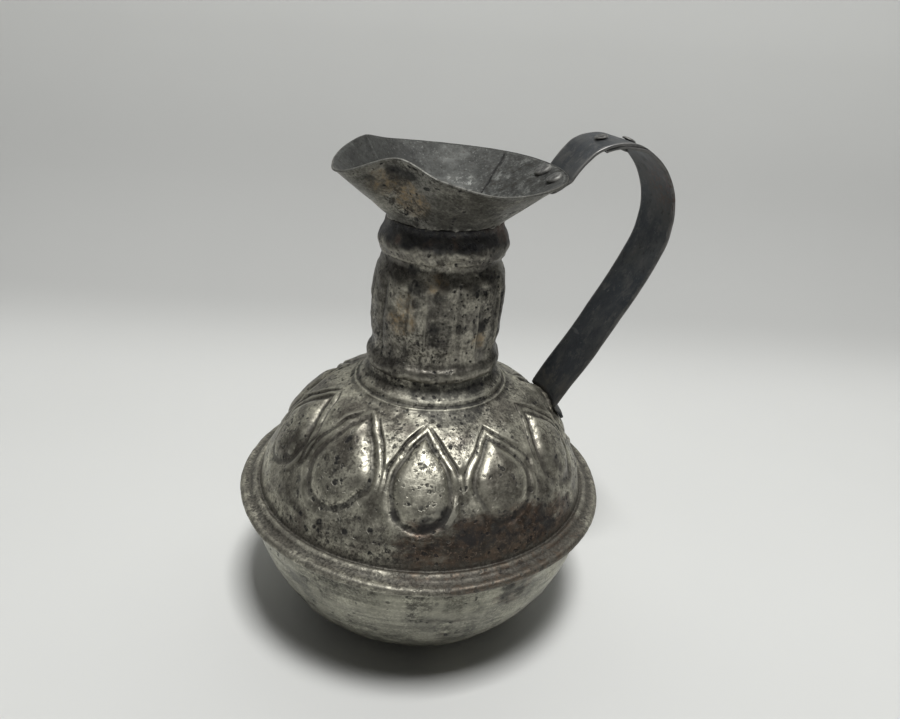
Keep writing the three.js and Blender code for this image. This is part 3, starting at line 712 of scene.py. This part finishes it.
class Nodes:
    """A short way to write node trees; color is what shows so far."""

    def __init__(self, name):
        self.material = bpy.data.materials.new(name)
        self.material.use_nodes = True
        self.tree = self.material.node_tree
        self.tree.nodes.clear()
        self.shader = self.tree.nodes.new("ShaderNodeBsdfPrincipled")
        self.fill(self.tree.nodes.new("ShaderNodeOutputMaterial"), {0: self.shader.outputs[0]})
        self.place = self.new("TexCoord", "Object")

    def fill(self, node, inputs):
        for key, value in inputs.items():
            if isinstance(value, bpy.types.NodeSocket):
                self.tree.links.new(value, node.inputs[key])
            elif value is not None:
                node.inputs[key].default_value = value

    def new(self, kind, out, inputs=None, **settings):
        """A node with its inputs set or linked; gives its output named out."""
        node = self.tree.nodes.new("ShaderNode" + kind)
        for key, value in settings.items():
            setattr(node, key, value)
        self.fill(node, inputs or {})
        return node.outputs[out]

    def field(self, name):
        return self.new("Attribute", "Fac", attribute_name=name)

    def height(self):
        return self.new("SeparateXYZ", "Z", {0: self.place})

    def math(self, operation, a, b, clamp=False):
        return self.new("Math", 0, {0: a, 1: b}, operation=operation, use_clamp=clamp)

    def vector(self, operation, a, b, out=0):
        return self.new("VectorMath", out, {0: a, 1: b}, operation=operation)

    def times(self, a, b):
        return self.math("MULTIPLY", a, b)

    def plus(self, a, b):
        return self.math("ADD", a, b)

    def most(self, first, *others):
        for value in others:
            first = self.math("MAXIMUM", first, value)
        return first

    def swing(self, noise, amount):
        """A noise centred on 0."""
        return self.times(self.math("SUBTRACT", noise, 0.5), amount)

    def ramp(self, value, lo, hi, out_lo=0.0, out_hi=1.0, kind="SMOOTHSTEP"):
        inputs = {"Value": value, "From Min": lo, "From Max": hi, "To Min": out_lo, "To Max": out_hi}
        return self.new("MapRange", "Result", inputs, interpolation_type=kind)

    def mix(self, share, a, b):
        a, b = [(*v, 1.0) if isinstance(v, tuple) else v for v in (a, b)]
        return self.new("Mix", 2, {"Factor": share, 6: a, 7: b}, data_type="RGBA")

    def cover(self, share, color):
        self.color = self.mix(share, self.color, color)

    def scaled(self, color, share):
        return self.new("VectorMath", 0, {0: color, "Scale": share}, operation="SCALE")

    def noise(self, size, detail=3.0, rough=0.55, scale=None, move=None):
        """Noise with bumps about size millimetres wide, drawn out by scale, taken elsewhere by move."""
        place = self.place
        if scale or move:
            place = self.new("Mapping", 0, {"Vector": place, "Scale": scale, "Location": move})
        inputs = {"Vector": place, "Scale": 1000.0 / size / 1.6, "Detail": detail, "Roughness": rough}
        return self.new("TexNoise", "Fac", inputs)

    def warped(self, size, amount):
        """The place, pushed about by noise, so that round cells come out uneven."""
        inputs = {"Vector": self.place, "Scale": 1000.0 / size * 1.3, "Detail": 4.0}
        push = self.vector("SUBTRACT", self.new("TexNoise", "Color", inputs), (0.5, 0.5, 0.5))
        return self.vector("ADD", self.place, self.scaled(push, size * MM * amount))

    def near(self, point, radius, soft, place=None):
        """1 inside a ball round a point (mm), falling to 0 over soft."""
        away = self.vector("DISTANCE", place or self.place, [v * MM for v in point], "Value")
        return self.ramp(away, radius * MM, (radius + soft) * MM, 1.0, 0.0)

    def between(self, z, low, high, soft):
        """1 between two heights (mm), falling to 0 over soft on both sides."""
        above = self.ramp(z, (low - soft) * MM, low * MM)
        return self.times(above, self.ramp(z, high * MM, (high + soft) * MM, 1.0, 0.0))

    def patches(self, marks, ragged, noise):
        """Ragged patches round marked points: (point, radius, soft, strength)."""
        total = self.most(*[self.times(self.near(*mark), strength) for *mark, strength in marks])
        pushed = self.plus(total, self.swing(noise, ragged))
        return self.times(self.ramp(pushed, 0.25, 0.9), self.ramp(total, 0.0, 0.25))

    def pits(self, size, least, greatest, crowd, centre):
        """Round pits with paler centres; crowd (0..1) says how many of the cells hold one."""
        inputs = {"Vector": self.warped(size, 0.9), "Scale": 1000.0 / size}
        distance = self.new("TexVoronoi", "Distance", inputs)
        chance = self.new("SeparateColor", "Red", {0: distance.node.outputs["Color"]})
        green, blue = [chance.node.outputs[name] for name in ("Green", "Blue")]
        kept = self.times(self.math("LESS_THAN", chance, crowd), self.ramp(blue, 0.0, 0.6, 0.6, 1.0))
        radius = self.ramp(self.math("POWER", green, 1.3), 0, 1, least, greatest, "LINEAR")
        disc = self.ramp(distance, self.times(radius, 0.6), self.times(radius, 1.1), 1.0, 0.0)
        paler = self.ramp(distance, 0.0, self.times(radius, 0.6), centre, 1.0)
        return self.times(self.times(disc, paler), kept)

    def bump(self, value, depth, normal=None):
        inputs = {"Strength": 1.0, "Distance": depth * MM, "Height": value, "Normal": normal}
        return self.new("Bump", 0, inputs)

    def finish(self, color, rough, metallic=0.0, normal=None):
        inputs = {"Base Color": color, "Roughness": rough, "Metallic": metallic, "Normal": normal}
        self.fill(self.shader, inputs)
        return self.material


class Tinning(Nodes):
    """Old tinning, laid on layer by layer; dulls are its dull places."""

    def __init__(self, name, tones, grime):
        super().__init__(name)
        self.dark, self.middle, self.pale = tones
        self.grime = grime
        self.dulls = []
        self.hollow = self.field("hollow")
        self.broad = self.noise(34, 3)
        self.cloud = self.noise(12, 5, 0.62)
        self.blotch = self.noise(6.0, 6, 0.66, move=(0.17, 0.05, 0.33))
        self.speck = self.noise(2.0, 5, 0.74)
        self.fine = self.noise(0.8, 3, 0.7)
        torn = self.noise(4.2, 6, 0.72, move=(0.05, 0.29, 0.13))
        self.torn = self.plus(self.times(torn, 0.6), self.times(self.speck, 0.4))


def toned(n, clean_and_highlit, streaks):
    """Clouded tones, bright where the tin is clean and where a painted highlight is laid, with long streaks.
    """
    bright = n.plus(n.times(n.cloud, 0.7), n.times(n.blotch, 0.3))
    bright = n.ramp(bright, 0.42, 0.62)
    if clean_and_highlit:
        # Painted highlight: the marked patches are paled where the lamp's reflection shows, partly clean tin
        bright = n.most(bright, n.times(n.patches(clean_and_highlit, 1.2, n.cloud), 0.9))
    n.color = n.mix(n.ramp(n.broad, 0.38, 0.6), n.dark, n.middle)
    n.cover(bright, n.pale)
    if streaks:
        share, size, scale = streaks
        long = n.noise(size, 5, 0.65, scale)
        n.cover(n.times(n.ramp(long, 0.46, 0.6), share), n.dark)
        n.cover(n.times(n.ramp(long, 0.44, 0.34), 0.7 * share), n.pale)


def grained(n):
    """Dark grain that eats into the bright metal, small glints, and sooty stains."""
    crowd = n.noise(19, 4, 0.6, move=(0.31, 0.12, 0.07))
    crowd = n.ramp(crowd, 0.58 - n.grime * 0.2, 0.7 - n.grime * 0.2, 0.2, 1.0)
    grain = n.most(n.ramp(n.speck, 0.5, 0.58), n.ramp(n.fine, 0.52, 0.62, 0.0, 0.75))
    grain = n.times(grain, crowd)
    n.cover(n.times(grain, 0.8), DIRT_AND_SHADE)
    glint = n.times(n.ramp(n.fine, 0.38, 0.3), n.ramp(n.torn, 0.5, 0.42))
    n.cover(n.times(glint, 0.55), n.pale)
    n.color = n.scaled(n.color, n.ramp(n.fine, 0.34, 0.64, 1.22, 0.72))
    stain = n.times(n.ramp(n.blotch, 0.56, 0.64), n.ramp(n.broad, 0.62, 0.4, 0.1, 1.0))
    stain = n.times(stain, n.grime)
    n.cover(n.times(stain, 0.85), SOOT_AND_SHADE)
    n.dulls += [n.times(grain, 0.7), stain]


def bared(n, browns_and_shade):
    """Brown bared copper, darker and paler in places; a broad mark can be painted shade instead, as on the
    bowl's lower middle.
    """
    brown = n.patches(browns_and_shade, 1.8, n.noise(8, 6, 0.72, (1, 1, 3.0)))
    rust = n.mix(n.ramp(n.torn, 0.42, 0.56), BROWN, (0.052, 0.042, 0.036))
    rust = n.mix(n.ramp(n.fine, 0.56, 0.64, 0.0, 0.8), rust, (0.26, 0.20, 0.155))
    n.cover(n.times(brown, 0.92), rust)
    return brown


def tanned(n, tans):
    tan = n.patches(tans, 2.2, n.torn)
    n.cover(n.times(tan, n.ramp(n.speck, 0.36, 0.56, 0.8, 0.1)), TAN)


def pocked(n, amount, holes):
    """Pits in crowds, and the larger ones that have a place of their own."""
    crowd = n.ramp(n.noise(24, 3, 0.55, move=(0.11, 0.41, 0.27)), 0.4, 0.6, 0.3, 1.0)
    small = n.pits(2.7, 0.18, 0.44, n.times(crowd, 0.8 * amount), 0.7)
    large = n.pits(5.0, 0.15, 0.36, n.times(crowd, 0.9 * amount), 0.35)
    pitting = n.most(small, large)
    if holes:
        ragged = n.warped(2.2, 0.8)
        for point, radius in holes:
            hole = n.near(point, radius * 0.7, radius * 0.5, ragged)
            pitting = n.most(pitting, n.times(hole, 0.95))
    n.cover(n.times(pitting, n.ramp(n.fine, 0.3, 0.5, 0.7, 0.97)), SOOT_AND_SHADE)
    n.dulls.append(pitting)
    return pitting


def blackened(n, blacks_and_shade):
    # Black stains, and painted shade where a mark stands for it: the bowl's lower middle and the shoulder's
    # cove under the bead
    black = n.patches(blacks_and_shade, 2.4, n.torn)
    n.cover(n.times(black, n.ramp(n.speck, 0.3, 0.55, 0.97, 0.75)), SOOT_AND_SHADE)
    n.dulls.append(black)


def shaded(n, hollows, crests, brown):
    """Hollows darkened with dirt and soot, partly painted shade, and crests paled by wear and a painted
    highlight, less so where the tinning is brown.
    """
    uneven = n.swing(n.blotch, 0.8)
    # Painted shade with dirt: hollows and grooves are darkened towards the dirt and soot colours
    hollow_dirt_and_shade = n.times(n.ramp(n.plus(n.hollow, uneven), 0.02, 0.26), hollows)
    n.cover(hollow_dirt_and_shade, n.mix(n.ramp(n.cloud, 0.4, 0.6), DIRT_AND_SHADE, SOOT_AND_SHADE))
    # Painted highlight with wear: crests and the rounded sheet edges are paled
    crest_wear_and_highlight = n.ramp(n.plus(n.hollow, n.times(uneven, 0.35)), -0.26, -0.08, 1.0, 0.0)
    if brown is not None:
        crest_wear_and_highlight = n.times(crest_wear_and_highlight, n.math("SUBTRACT", 1.0, n.times(brown, 0.85), clamp=True))
    n.cover(n.times(crest_wear_and_highlight, crests), n.pale)
    n.dulls.append(hollow_dirt_and_shade)


def filmed(n, low, high, soft, strength):
    """A thin dull film between two heights."""
    z = n.plus(n.height(), n.swing(n.cloud, 6 * MM))
    band = n.times(n.between(z, low, high, soft), n.ramp(n.torn, 0.4, 0.56, 0.25, 1.0))
    band = n.times(band, strength)
    n.cover(band, n.mix(n.ramp(n.fine, 0.44, 0.6), (0.15, 0.14, 0.115), (0.062, 0.058, 0.05)))
    n.dulls.append(band)


def sooted(n, low, high, soft, strength):
    """Blue-black and brown soot between two heights, with pale spots along its top."""
    z = n.plus(n.height(), n.swing(n.noise(10, 5, 0.68), 13 * MM))
    band = n.between(z, low, high, soft)
    band = n.times(band, n.ramp(n.speck, 0.34, 0.6, strength, 0.7 * strength))
    n.cover(band, n.mix(n.ramp(n.cloud, 0.5, 0.64), (0.075, 0.076, 0.083), (0.19, 0.135, 0.115)))
    top = n.ramp(n.height(), (high - 6) * MM, (high - 2) * MM)
    spots = n.times(n.ramp(n.fine, 0.46, 0.38), top)
    n.cover(n.times(spots, 0.8), (0.21, 0.2, 0.175))
    n.dulls.append(n.times(band, 0.7))


def lined(n, base, light):
    """The inside: a torn dark coat with a paler crust, dirt and painted shade in its hollows, and pools of
    solder.
    """
    inside, outside = n.field("inside"), n.color
    torn, fine, cloud = n.torn, n.fine, n.cloud
    patch = n.near((48, 12, 232), 20, 8)
    high = n.plus(n.hollow, n.swing(fine, 0.25))
    low = n.plus(n.hollow, n.swing(torn, 0.2))
    pool = n.times(n.patches(POOLS, 3.4, torn), n.ramp(n.speck, 0.5, 0.4, 0.15, 0.9))
    n.color = n.mix(n.ramp(torn, 0.4, 0.6), base, times_color(base, 0.62))
    n.cover(n.times(n.times(patch, n.ramp(torn, 0.5, 0.4)), 0.75), light)
    n.cover(n.times(patch, n.ramp(torn, 0.52, 0.62)), DIRT_AND_SHADE)
    n.cover(n.ramp(high, -0.06, -0.2, 0.0, 0.5), light)
    # Painted shade with dirt: inner hollows darken, drawing the shadow line along the crusty layer's edge at
    # the seam
    n.cover(n.ramp(low, 0.03, 0.14, 0.0, 0.92), SOOT_AND_SHADE)
    n.cover(n.ramp(fine, 0.54, 0.64, 0.0, 0.75), DIRT_AND_SHADE)
    n.cover(n.times(n.ramp(fine, 0.41, 0.31), n.ramp(cloud, 0.42, 0.58, 0.15, 0.8)), times_color(light, 1.25))
    n.cover(n.ramp(cloud, 0.5, 0.62, 0.0, 0.5), (0.05, 0.05, 0.048))
    n.cover(pool, times_color(light, 1.35))
    n.color = n.mix(inside, outside, n.color)
    n.dulls.append(n.times(inside, 0.75))


def finished(n, rough, pits):
    """Rougher and less metallic where dull, with shallow dents, grain and pits in the surface."""
    dull = n.most(*n.dulls)
    roughness = n.ramp(n.noise(6, 4, 0.6), 0.3, 0.7, *rough)
    roughness = n.math("ADD", roughness, n.times(dull, 0.2), clamp=True)
    metallic = n.math("SUBTRACT", 0.97, n.times(dull, 0.45))
    normal = n.bump(n.noise(7, 3, 0.5), 0.14)
    normal = n.bump(n.math("SUBTRACT", n.times(n.speck, 0.7), pits), 0.17, normal)
    normal = n.bump(n.fine, 0.085, normal)
    return n.finish(n.color, roughness, metallic, normal)


def tinned(name, tones, grime, pitted, rough, clean_and_highlit=(), streaks=None, browns_and_shade=(), tans=(), holes=(),
           blacks_and_shade=(), hollows=0.85, crests=0.4, film=None, soot=None, lining=None):
    """A tinned material with the layers that its piece needs, always in the same order."""
    n = Tinning(name, tones, grime)
    toned(n, clean_and_highlit, streaks)
    grained(n)
    brown = bared(n, browns_and_shade) if browns_and_shade else None
    if tans:
        tanned(n, tans)
    pits = pocked(n, pitted, holes)
    if blacks_and_shade:
        blackened(n, blacks_and_shade)
    shaded(n, hollows, crests, brown)
    if film:
        filmed(n, *film)
    if soot:
        sooted(n, *soot)
    if lining:
        lined(n, *lining)
    return finished(n, rough, pits)


def iron(name):
    """Blackened iron strip: mottled, worn light along the edges, with scratches; solder where inside is 1."""
    n = Nodes(name)
    inside = n.field("inside")
    cloud = n.noise(14, 5, 0.65)
    torn = n.noise(4.5, 6, 0.72)
    speck = n.noise(1.6, 5, 0.74)
    scratch = n.noise(2.4, 4, 0.6, (1, 0.2, 1))
    worn = n.ramp(n.plus(n.field("hollow"), n.swing(torn, 0.9)), -0.40, -0.14, 1.0, 0.0)
    foot = n.times(n.near((74, 0, 117), 12, 10), n.ramp(torn, 0.46, 0.58))
    solder = n.mix(n.ramp(torn, 0.4, 0.6), (0.075, 0.07, 0.06), (0.20, 0.185, 0.15))
    n.color = n.mix(n.ramp(cloud, 0.38, 0.62), (0.030, 0.036, 0.044), (0.088, 0.090, 0.090))
    n.cover(n.ramp(torn, 0.52, 0.64, 0.0, 0.6), (0.115, 0.113, 0.108))
    n.cover(n.ramp(torn, 0.42, 0.34, 0.0, 0.7), (0.018, 0.020, 0.024))
    n.cover(n.times(worn, 0.8), (0.21, 0.205, 0.195))
    n.cover(n.ramp(speck, 0.6, 0.68, 0.0, 0.55), IRON_WORN)
    n.cover(n.ramp(scratch, 0.64, 0.72, 0.0, 0.4), IRON_WORN)
    rust = n.times(n.near((117, -10, 237), 8, 14), n.ramp(speck, 0.45, 0.65, 0.0, 0.7))
    n.cover(rust, (0.10, 0.055, 0.045))
    n.cover(n.times(n.near((105, 0, 245.5), 1.5, 2.5), n.ramp(torn, 0.4, 0.5)), SOOT_AND_SHADE)
    n.cover(n.times(foot, 0.6), (0.13, 0.12, 0.10))
    # Painted shade: the inner face, marked inside = 0.4, is darkened
    n.color = n.scaled(n.color, n.ramp(inside, 0.1, 0.35, 1.0, 0.8))
    # Painted light: darker low down towards the foot, paler up on the arch
    n.color = n.scaled(n.color, n.ramp(n.height(), 0.13, 0.19, 0.66, 1.12))
    n.cover(n.ramp(inside, 0.6, 0.9), solder)
    normal = n.bump(torn, 0.12, n.bump(n.noise(9, 3, 0.5), 0.22))
    return n.finish(n.color, n.ramp(cloud, 0.3, 0.7, 0.40, 0.62), 0.75, n.bump(speck, 0.09, normal))


def rivet_metal(name):
    """Dark hammered heads with worn crests."""
    n = Nodes(name)
    speck = n.noise(1.4, 5, 0.74)
    n.color = n.mix(n.ramp(speck, 0.42, 0.62), (0.075, 0.075, 0.072), (0.20, 0.198, 0.188))
    n.cover(n.times(n.ramp(n.noise(3.2, 5, 0.7), 0.54, 0.64), 0.7), (0.03, 0.03, 0.03))
    n.cover(n.ramp(n.field("hollow"), -0.16, -0.06, 0.75, 0.0), (0.34, 0.335, 0.31))
    return n.finish(n.color, n.ramp(speck, 0.3, 0.7, 0.5, 0.74), 0.7, n.bump(n.noise(1.8, 4, 0.65), 0.3))


def matt_sheet(name, color):
    """The backdrop's sheet: painted shade makes it a little darker where it bends up, painted light paler
    higher up.
    """
    n = Nodes(name)
    z = n.height()
    tone = n.mix(n.ramp(n.noise(120, 2), 0.3, 0.7), times_color(color, 0.985), color)
    # Painted shade and light: the colour is scaled down from the floor into the bend, then up again higher on
    # the wall
    tone = n.scaled(tone, n.times(n.ramp(z, 0.0, 0.05, 1.0, 0.74), n.ramp(z, 0.14, 0.32, 1.0, 1.36)))
    return n.finish(tone, 0.85)


# Looks of each tinned piece; a mark is place, radius, soft edge and strength, a hole place and radius

BOWL_LOOKS = {
    "tones": ((0.12, 0.118, 0.098), (0.215, 0.21, 0.17), (0.42, 0.41, 0.335)),
    "grime": 0.25, "pitted": 0.16, "rough": (0.34, 0.48),
    "streaks": (0.6, 5, (0.16, 0.16, 3.0)),
    # The broad marks round (0, -80, 35) and (2, -84, 38) are painted shade under the brim; the others are
    # stains
    "browns_and_shade": [((26, -86, 62), 8, 12, 0.5), ((0, -80, 35), 14, 34, 0.3)],
    "blacks_and_shade": [((24, -84, 60), 5, 10, 0.6), ((2, -84, 38), 10, 26, 0.38)],
}
SHOULDER_LOOKS = {
    "tones": ((0.14, 0.128, 0.108), (0.28, 0.262, 0.218), (0.56, 0.54, 0.445)),
    "grime": 0.62, "pitted": 1.0, "rough": (0.37, 0.53), "hollows": 0.68,
    # These marks are painted highlight on clean tin: the front teardrop's upper dome, the panels beside it
    # and the collar's step
    "clean_and_highlit": [
        ((-19, -72, 108), 8, 12, 1.0), ((-12, -60, 120), 6, 10, 0.9), ((-38, -52, 118), 6, 12, 0.9),
        ((10, -62, 119), 5, 9, 0.9), ((-3, -36, 134), 12, 10, 1.0), ((-30, -50, 126), 4, 8, 0.9),
    ],
    "browns_and_shade": [
        ((-16, -82, 84), 10, 16, 0.8), ((8, -85, 80), 14, 16, 1.0), ((30, -81, 80), 14, 16, 1.0),
        ((54, -68, 78), 10, 14, 0.9), ((5, -92, 76), 14, 12, 0.7), ((62, -50, 95), 8, 22, 0.35),
    ],
    "blacks_and_shade": [
        ((-9, -77, 99), 3, 6, 1.0), ((-16, -77, 97), 2, 6, 1.0), ((-30, -71, 99), 1, 5, 0.9),
        ((20, -80, 89), 3, 16, 0.7), ((44, -72, 86), 3, 16, 0.65), ((3, -80, 93), 4, 10, 0.75),
        # The first mark on the next line is dirt and painted shade in the collar's cove under the bead; the
        # others are black stains
        ((4, -32, 141), 18, 5, 0.75), ((-30, -58, 112), 1, 4, 0.9),
    ],
    "holes": [
        ((-45.4, -38.2, 121.7), 1.7), ((-46.8, -38.8, 120.2), 1.2), ((-52.1, -43.0, 114.5), 1.6),
        ((-52.6, -44.4, 112.8), 1.3), ((-54.1, -50.7, 106.5), 1.7), ((-51.5, -51.8, 108.0), 1.1),
        ((-47.6, -60.2, 99.7), 1.3), ((-51.4, -64.5, 88.4), 1.7), ((-40.9, -69.5, 91.8), 1.4),
        ((-18.9, -73.9, 104.0), 1.3), ((-68.5, -67.2, 74.5), 1.5), ((-69.8, -45.0, 87.2), 1.3),
    ],
    "film": (73, 79, 2.5, 0.75),
}
NECK_LOOKS = {
    "tones": ((0.095, 0.088, 0.078), (0.175, 0.165, 0.145), (0.40, 0.38, 0.32)),
    "grime": 0.6, "pitted": 0.9, "rough": (0.34, 0.5), "hollows": 0.4,
    "streaks": (0.6, 7, (1.3, 1.3, 0.26)),
    # These marks are painted highlight on clean tin: the lower bead's front, the upper bead's crest and small
    # spots on the barrel
    "clean_and_highlit": [
        ((-7, -33, 150), 9, 9, 1.0), ((6, -33, 150), 8, 8, 1.0), ((-20, -22, 165), 3, 7, 0.7),
        ((0, -32, 205.5), 9, 5, 0.7), ((10.8, -33, 168), 1.5, 4, 0.9),
    ],
    "tans": [
        ((-19.5, -22.5, 173), 3.5, 9, 0.9), ((-18, -24, 182), 3, 6, 0.8), ((17, -29, 164), 2, 6, 0.8),
        ((-5, -30, 193), 3, 6, 0.8),
    ],
    "blacks_and_shade": [
        ((-14.7, -23, 198), 1, 5, 1.0), ((-14.3, -26, 190), 1, 5, 1.0), ((-14, -27, 183), 1, 4, 0.9),
        ((-3.5, -32.2, 170), 2, 11, 0.6), ((14, -30.6, 190), 1, 5, 0.9), ((18, -28.7, 171), 1, 5, 0.9),
        ((-4, -31.4, 187), 1, 5, 0.8),
    ],
    "soot": (210, 219, 4, 0.92),
}
MOUTH_LOOKS = {
    "tones": ((0.14, 0.136, 0.122), (0.2, 0.194, 0.172), (0.33, 0.32, 0.28)),
    "grime": 0.5, "pitted": 0.3, "rough": (0.42, 0.6), "crests": 0.15,
    "streaks": (0.6, 7, (0.45, 0.45, 1.6)),
    "tans": [((-17, -26.5, 230), 4, 9, 1.0), ((-30, -27, 238), 4, 9, 0.8), ((-21, -29, 235), 3, 8, 0.8)],
    "blacks_and_shade": [((-25.7, -30.5, 243), 2, 7, 0.8), ((-20, -33, 242), 1, 6, 0.8), ((-38, -26, 240), 1, 8, 0.6)],
    "lining": ((0.088, 0.09, 0.084), (0.21, 0.214, 0.2)),
}


def pieces():
    """Builds the ten pieces."""
    straps = iron("black_iron")
    heads = rivet_metal("rivet_metal")
    made = [
        ("bowl", bowl(), tinned("bowl_tin", **BOWL_LOOKS), "tinned_bowl"),
        ("shoulder", shoulder(), tinned("shoulder_tin", **SHOULDER_LOOKS), "tinned_dark"),
        ("neck", neck(), tinned("neck_tin", **NECK_LOOKS), "tinned_dark"),
        ("mouth", mouth(), tinned("mouth_tin", **MOUTH_LOOKS), "sooted_mouth"),
        ("handle_upper_strap", upper_strap(), straps, "black_iron"),
        ("handle_lower_strap", lower_strap(), straps, "black_iron"),
    ]
    made += [(name, shell, heads, "rivet_metal") for name, shell in rivets()]
    for node, shell, material, slot in made:
        piece = shell.build(node + "_fine", material, slot)
        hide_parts(node)


# Camera and studio, in metres, turned by the angle from which the photograph was taken

TURN = Matrix.Rotation(-15 * DEG, 3, "Z")
CAMERA_AT = (0.0, -0.3524, 0.2316)
CAMERA_PITCH, CAMERA_ROLL, CAMERA_YAW = 0.431, 0.067, 0.034
LENS = 30.0
BACKDROP_FRONT, BACKDROP_BACK, BACKDROP_HEIGHT, BACKDROP_WIDTH = -3.0, 0.18, 1.6, 4.0
BACKDROP_BEND, BACKDROP_STEPS = 0.28, 12
BACKDROP_COLOR = (0.715, 0.72, 0.70)
LAMP_AT, LAMP_AIM = (0.14, -0.46, 1.95), (0, 0, 0.1)
LAMP_SIZE, LAMP_POWER = (0.45, 0.42), 33.5
WORLD_LIGHT, WORLD_SEEN = (0.04, 0.04, 0.04, 1), (0.55, 0.555, 0.54, 1)


def camera():
    yaw, pitch, roll = CAMERA_YAW, CAMERA_PITCH, CAMERA_ROLL
    forward = Vector((math.sin(yaw) * math.cos(pitch), math.cos(yaw) * math.cos(pitch), -math.sin(pitch)))
    right = Vector((math.cos(yaw), -math.sin(yaw), 0))
    up = right.cross(forward)
    x = math.cos(roll) * right + math.sin(roll) * up
    y = -math.sin(roll) * right + math.cos(roll) * up
    axes = TURN @ Matrix((x, y, -forward)).transposed()
    place = TURN @ Vector(CAMERA_AT) + Vector((0, 0, BRIM * MM))
    data = bpy.data.cameras.new("camera")
    data.lens = LENS
    data.sensor_width = 36.0
    data.clip_start = 0.01
    bpy.context.scene.camera = link("camera", data, Matrix.Translation(place) @ axes.to_4x4())


def backdrop():
    """A pale sheet that runs from under the jug up behind it."""
    line = [(BACKDROP_FRONT, 0.0)]
    for k in range(BACKDROP_STEPS + 1):
        a = k / BACKDROP_STEPS * math.pi / 2
        line.append((BACKDROP_BACK + BACKDROP_BEND * math.sin(a), BACKDROP_BEND * (1 - math.cos(a))))
    line.append((BACKDROP_BACK + BACKDROP_BEND, BACKDROP_HEIGHT))
    half = BACKDROP_WIDTH / 2
    verts = [TURN @ Vector((x, y, z)) for y, z in line for x in (-half, half)]
    faces = [(2 * i, 2 * i + 1, 2 * i + 3, 2 * i + 2) for i in range(len(line) - 1)]
    mesh = bpy.data.meshes.new("sheet")
    mesh.from_pydata(verts, [], faces)
    mesh.shade_smooth()
    mesh.materials.append(matt_sheet("pale_sheet", BACKDROP_COLOR))
    link("sheet", mesh)


def lamp():
    """One soft lamp high over the jug."""
    data = bpy.data.lights.new("top", "AREA")
    data.shape = "RECTANGLE"
    data.size, data.size_y = LAMP_SIZE
    data.energy = LAMP_POWER
    place = TURN @ Vector(LAMP_AT)
    turn = (place - Vector(LAMP_AIM)).to_track_quat("Z", "Y").to_matrix()
    link("top", data, Matrix.Translation(place) @ turn.to_4x4())


def surroundings():
    """Faint light from all round; where nothing else is seen there is a pale tone."""
    world = bpy.data.worlds.new("world")
    world.use_nodes = True
    tree = world.node_tree
    seen = tree.nodes.new("ShaderNodeLightPath").outputs["Is Camera Ray"]
    tone = tree.nodes.new("ShaderNodeMix")
    tone.data_type = "RGBA"
    tree.links.new(seen, tone.inputs["Factor"])
    tone.inputs[6].default_value = WORLD_LIGHT
    tone.inputs[7].default_value = WORLD_SEEN
    tree.links.new(tone.outputs[2], tree.nodes["Background"].inputs[0])
    bpy.context.scene.world = world


pieces()
camera()
backdrop()
lamp()
surroundings()
bpy.context.scene.view_settings.view_transform = "Standard"
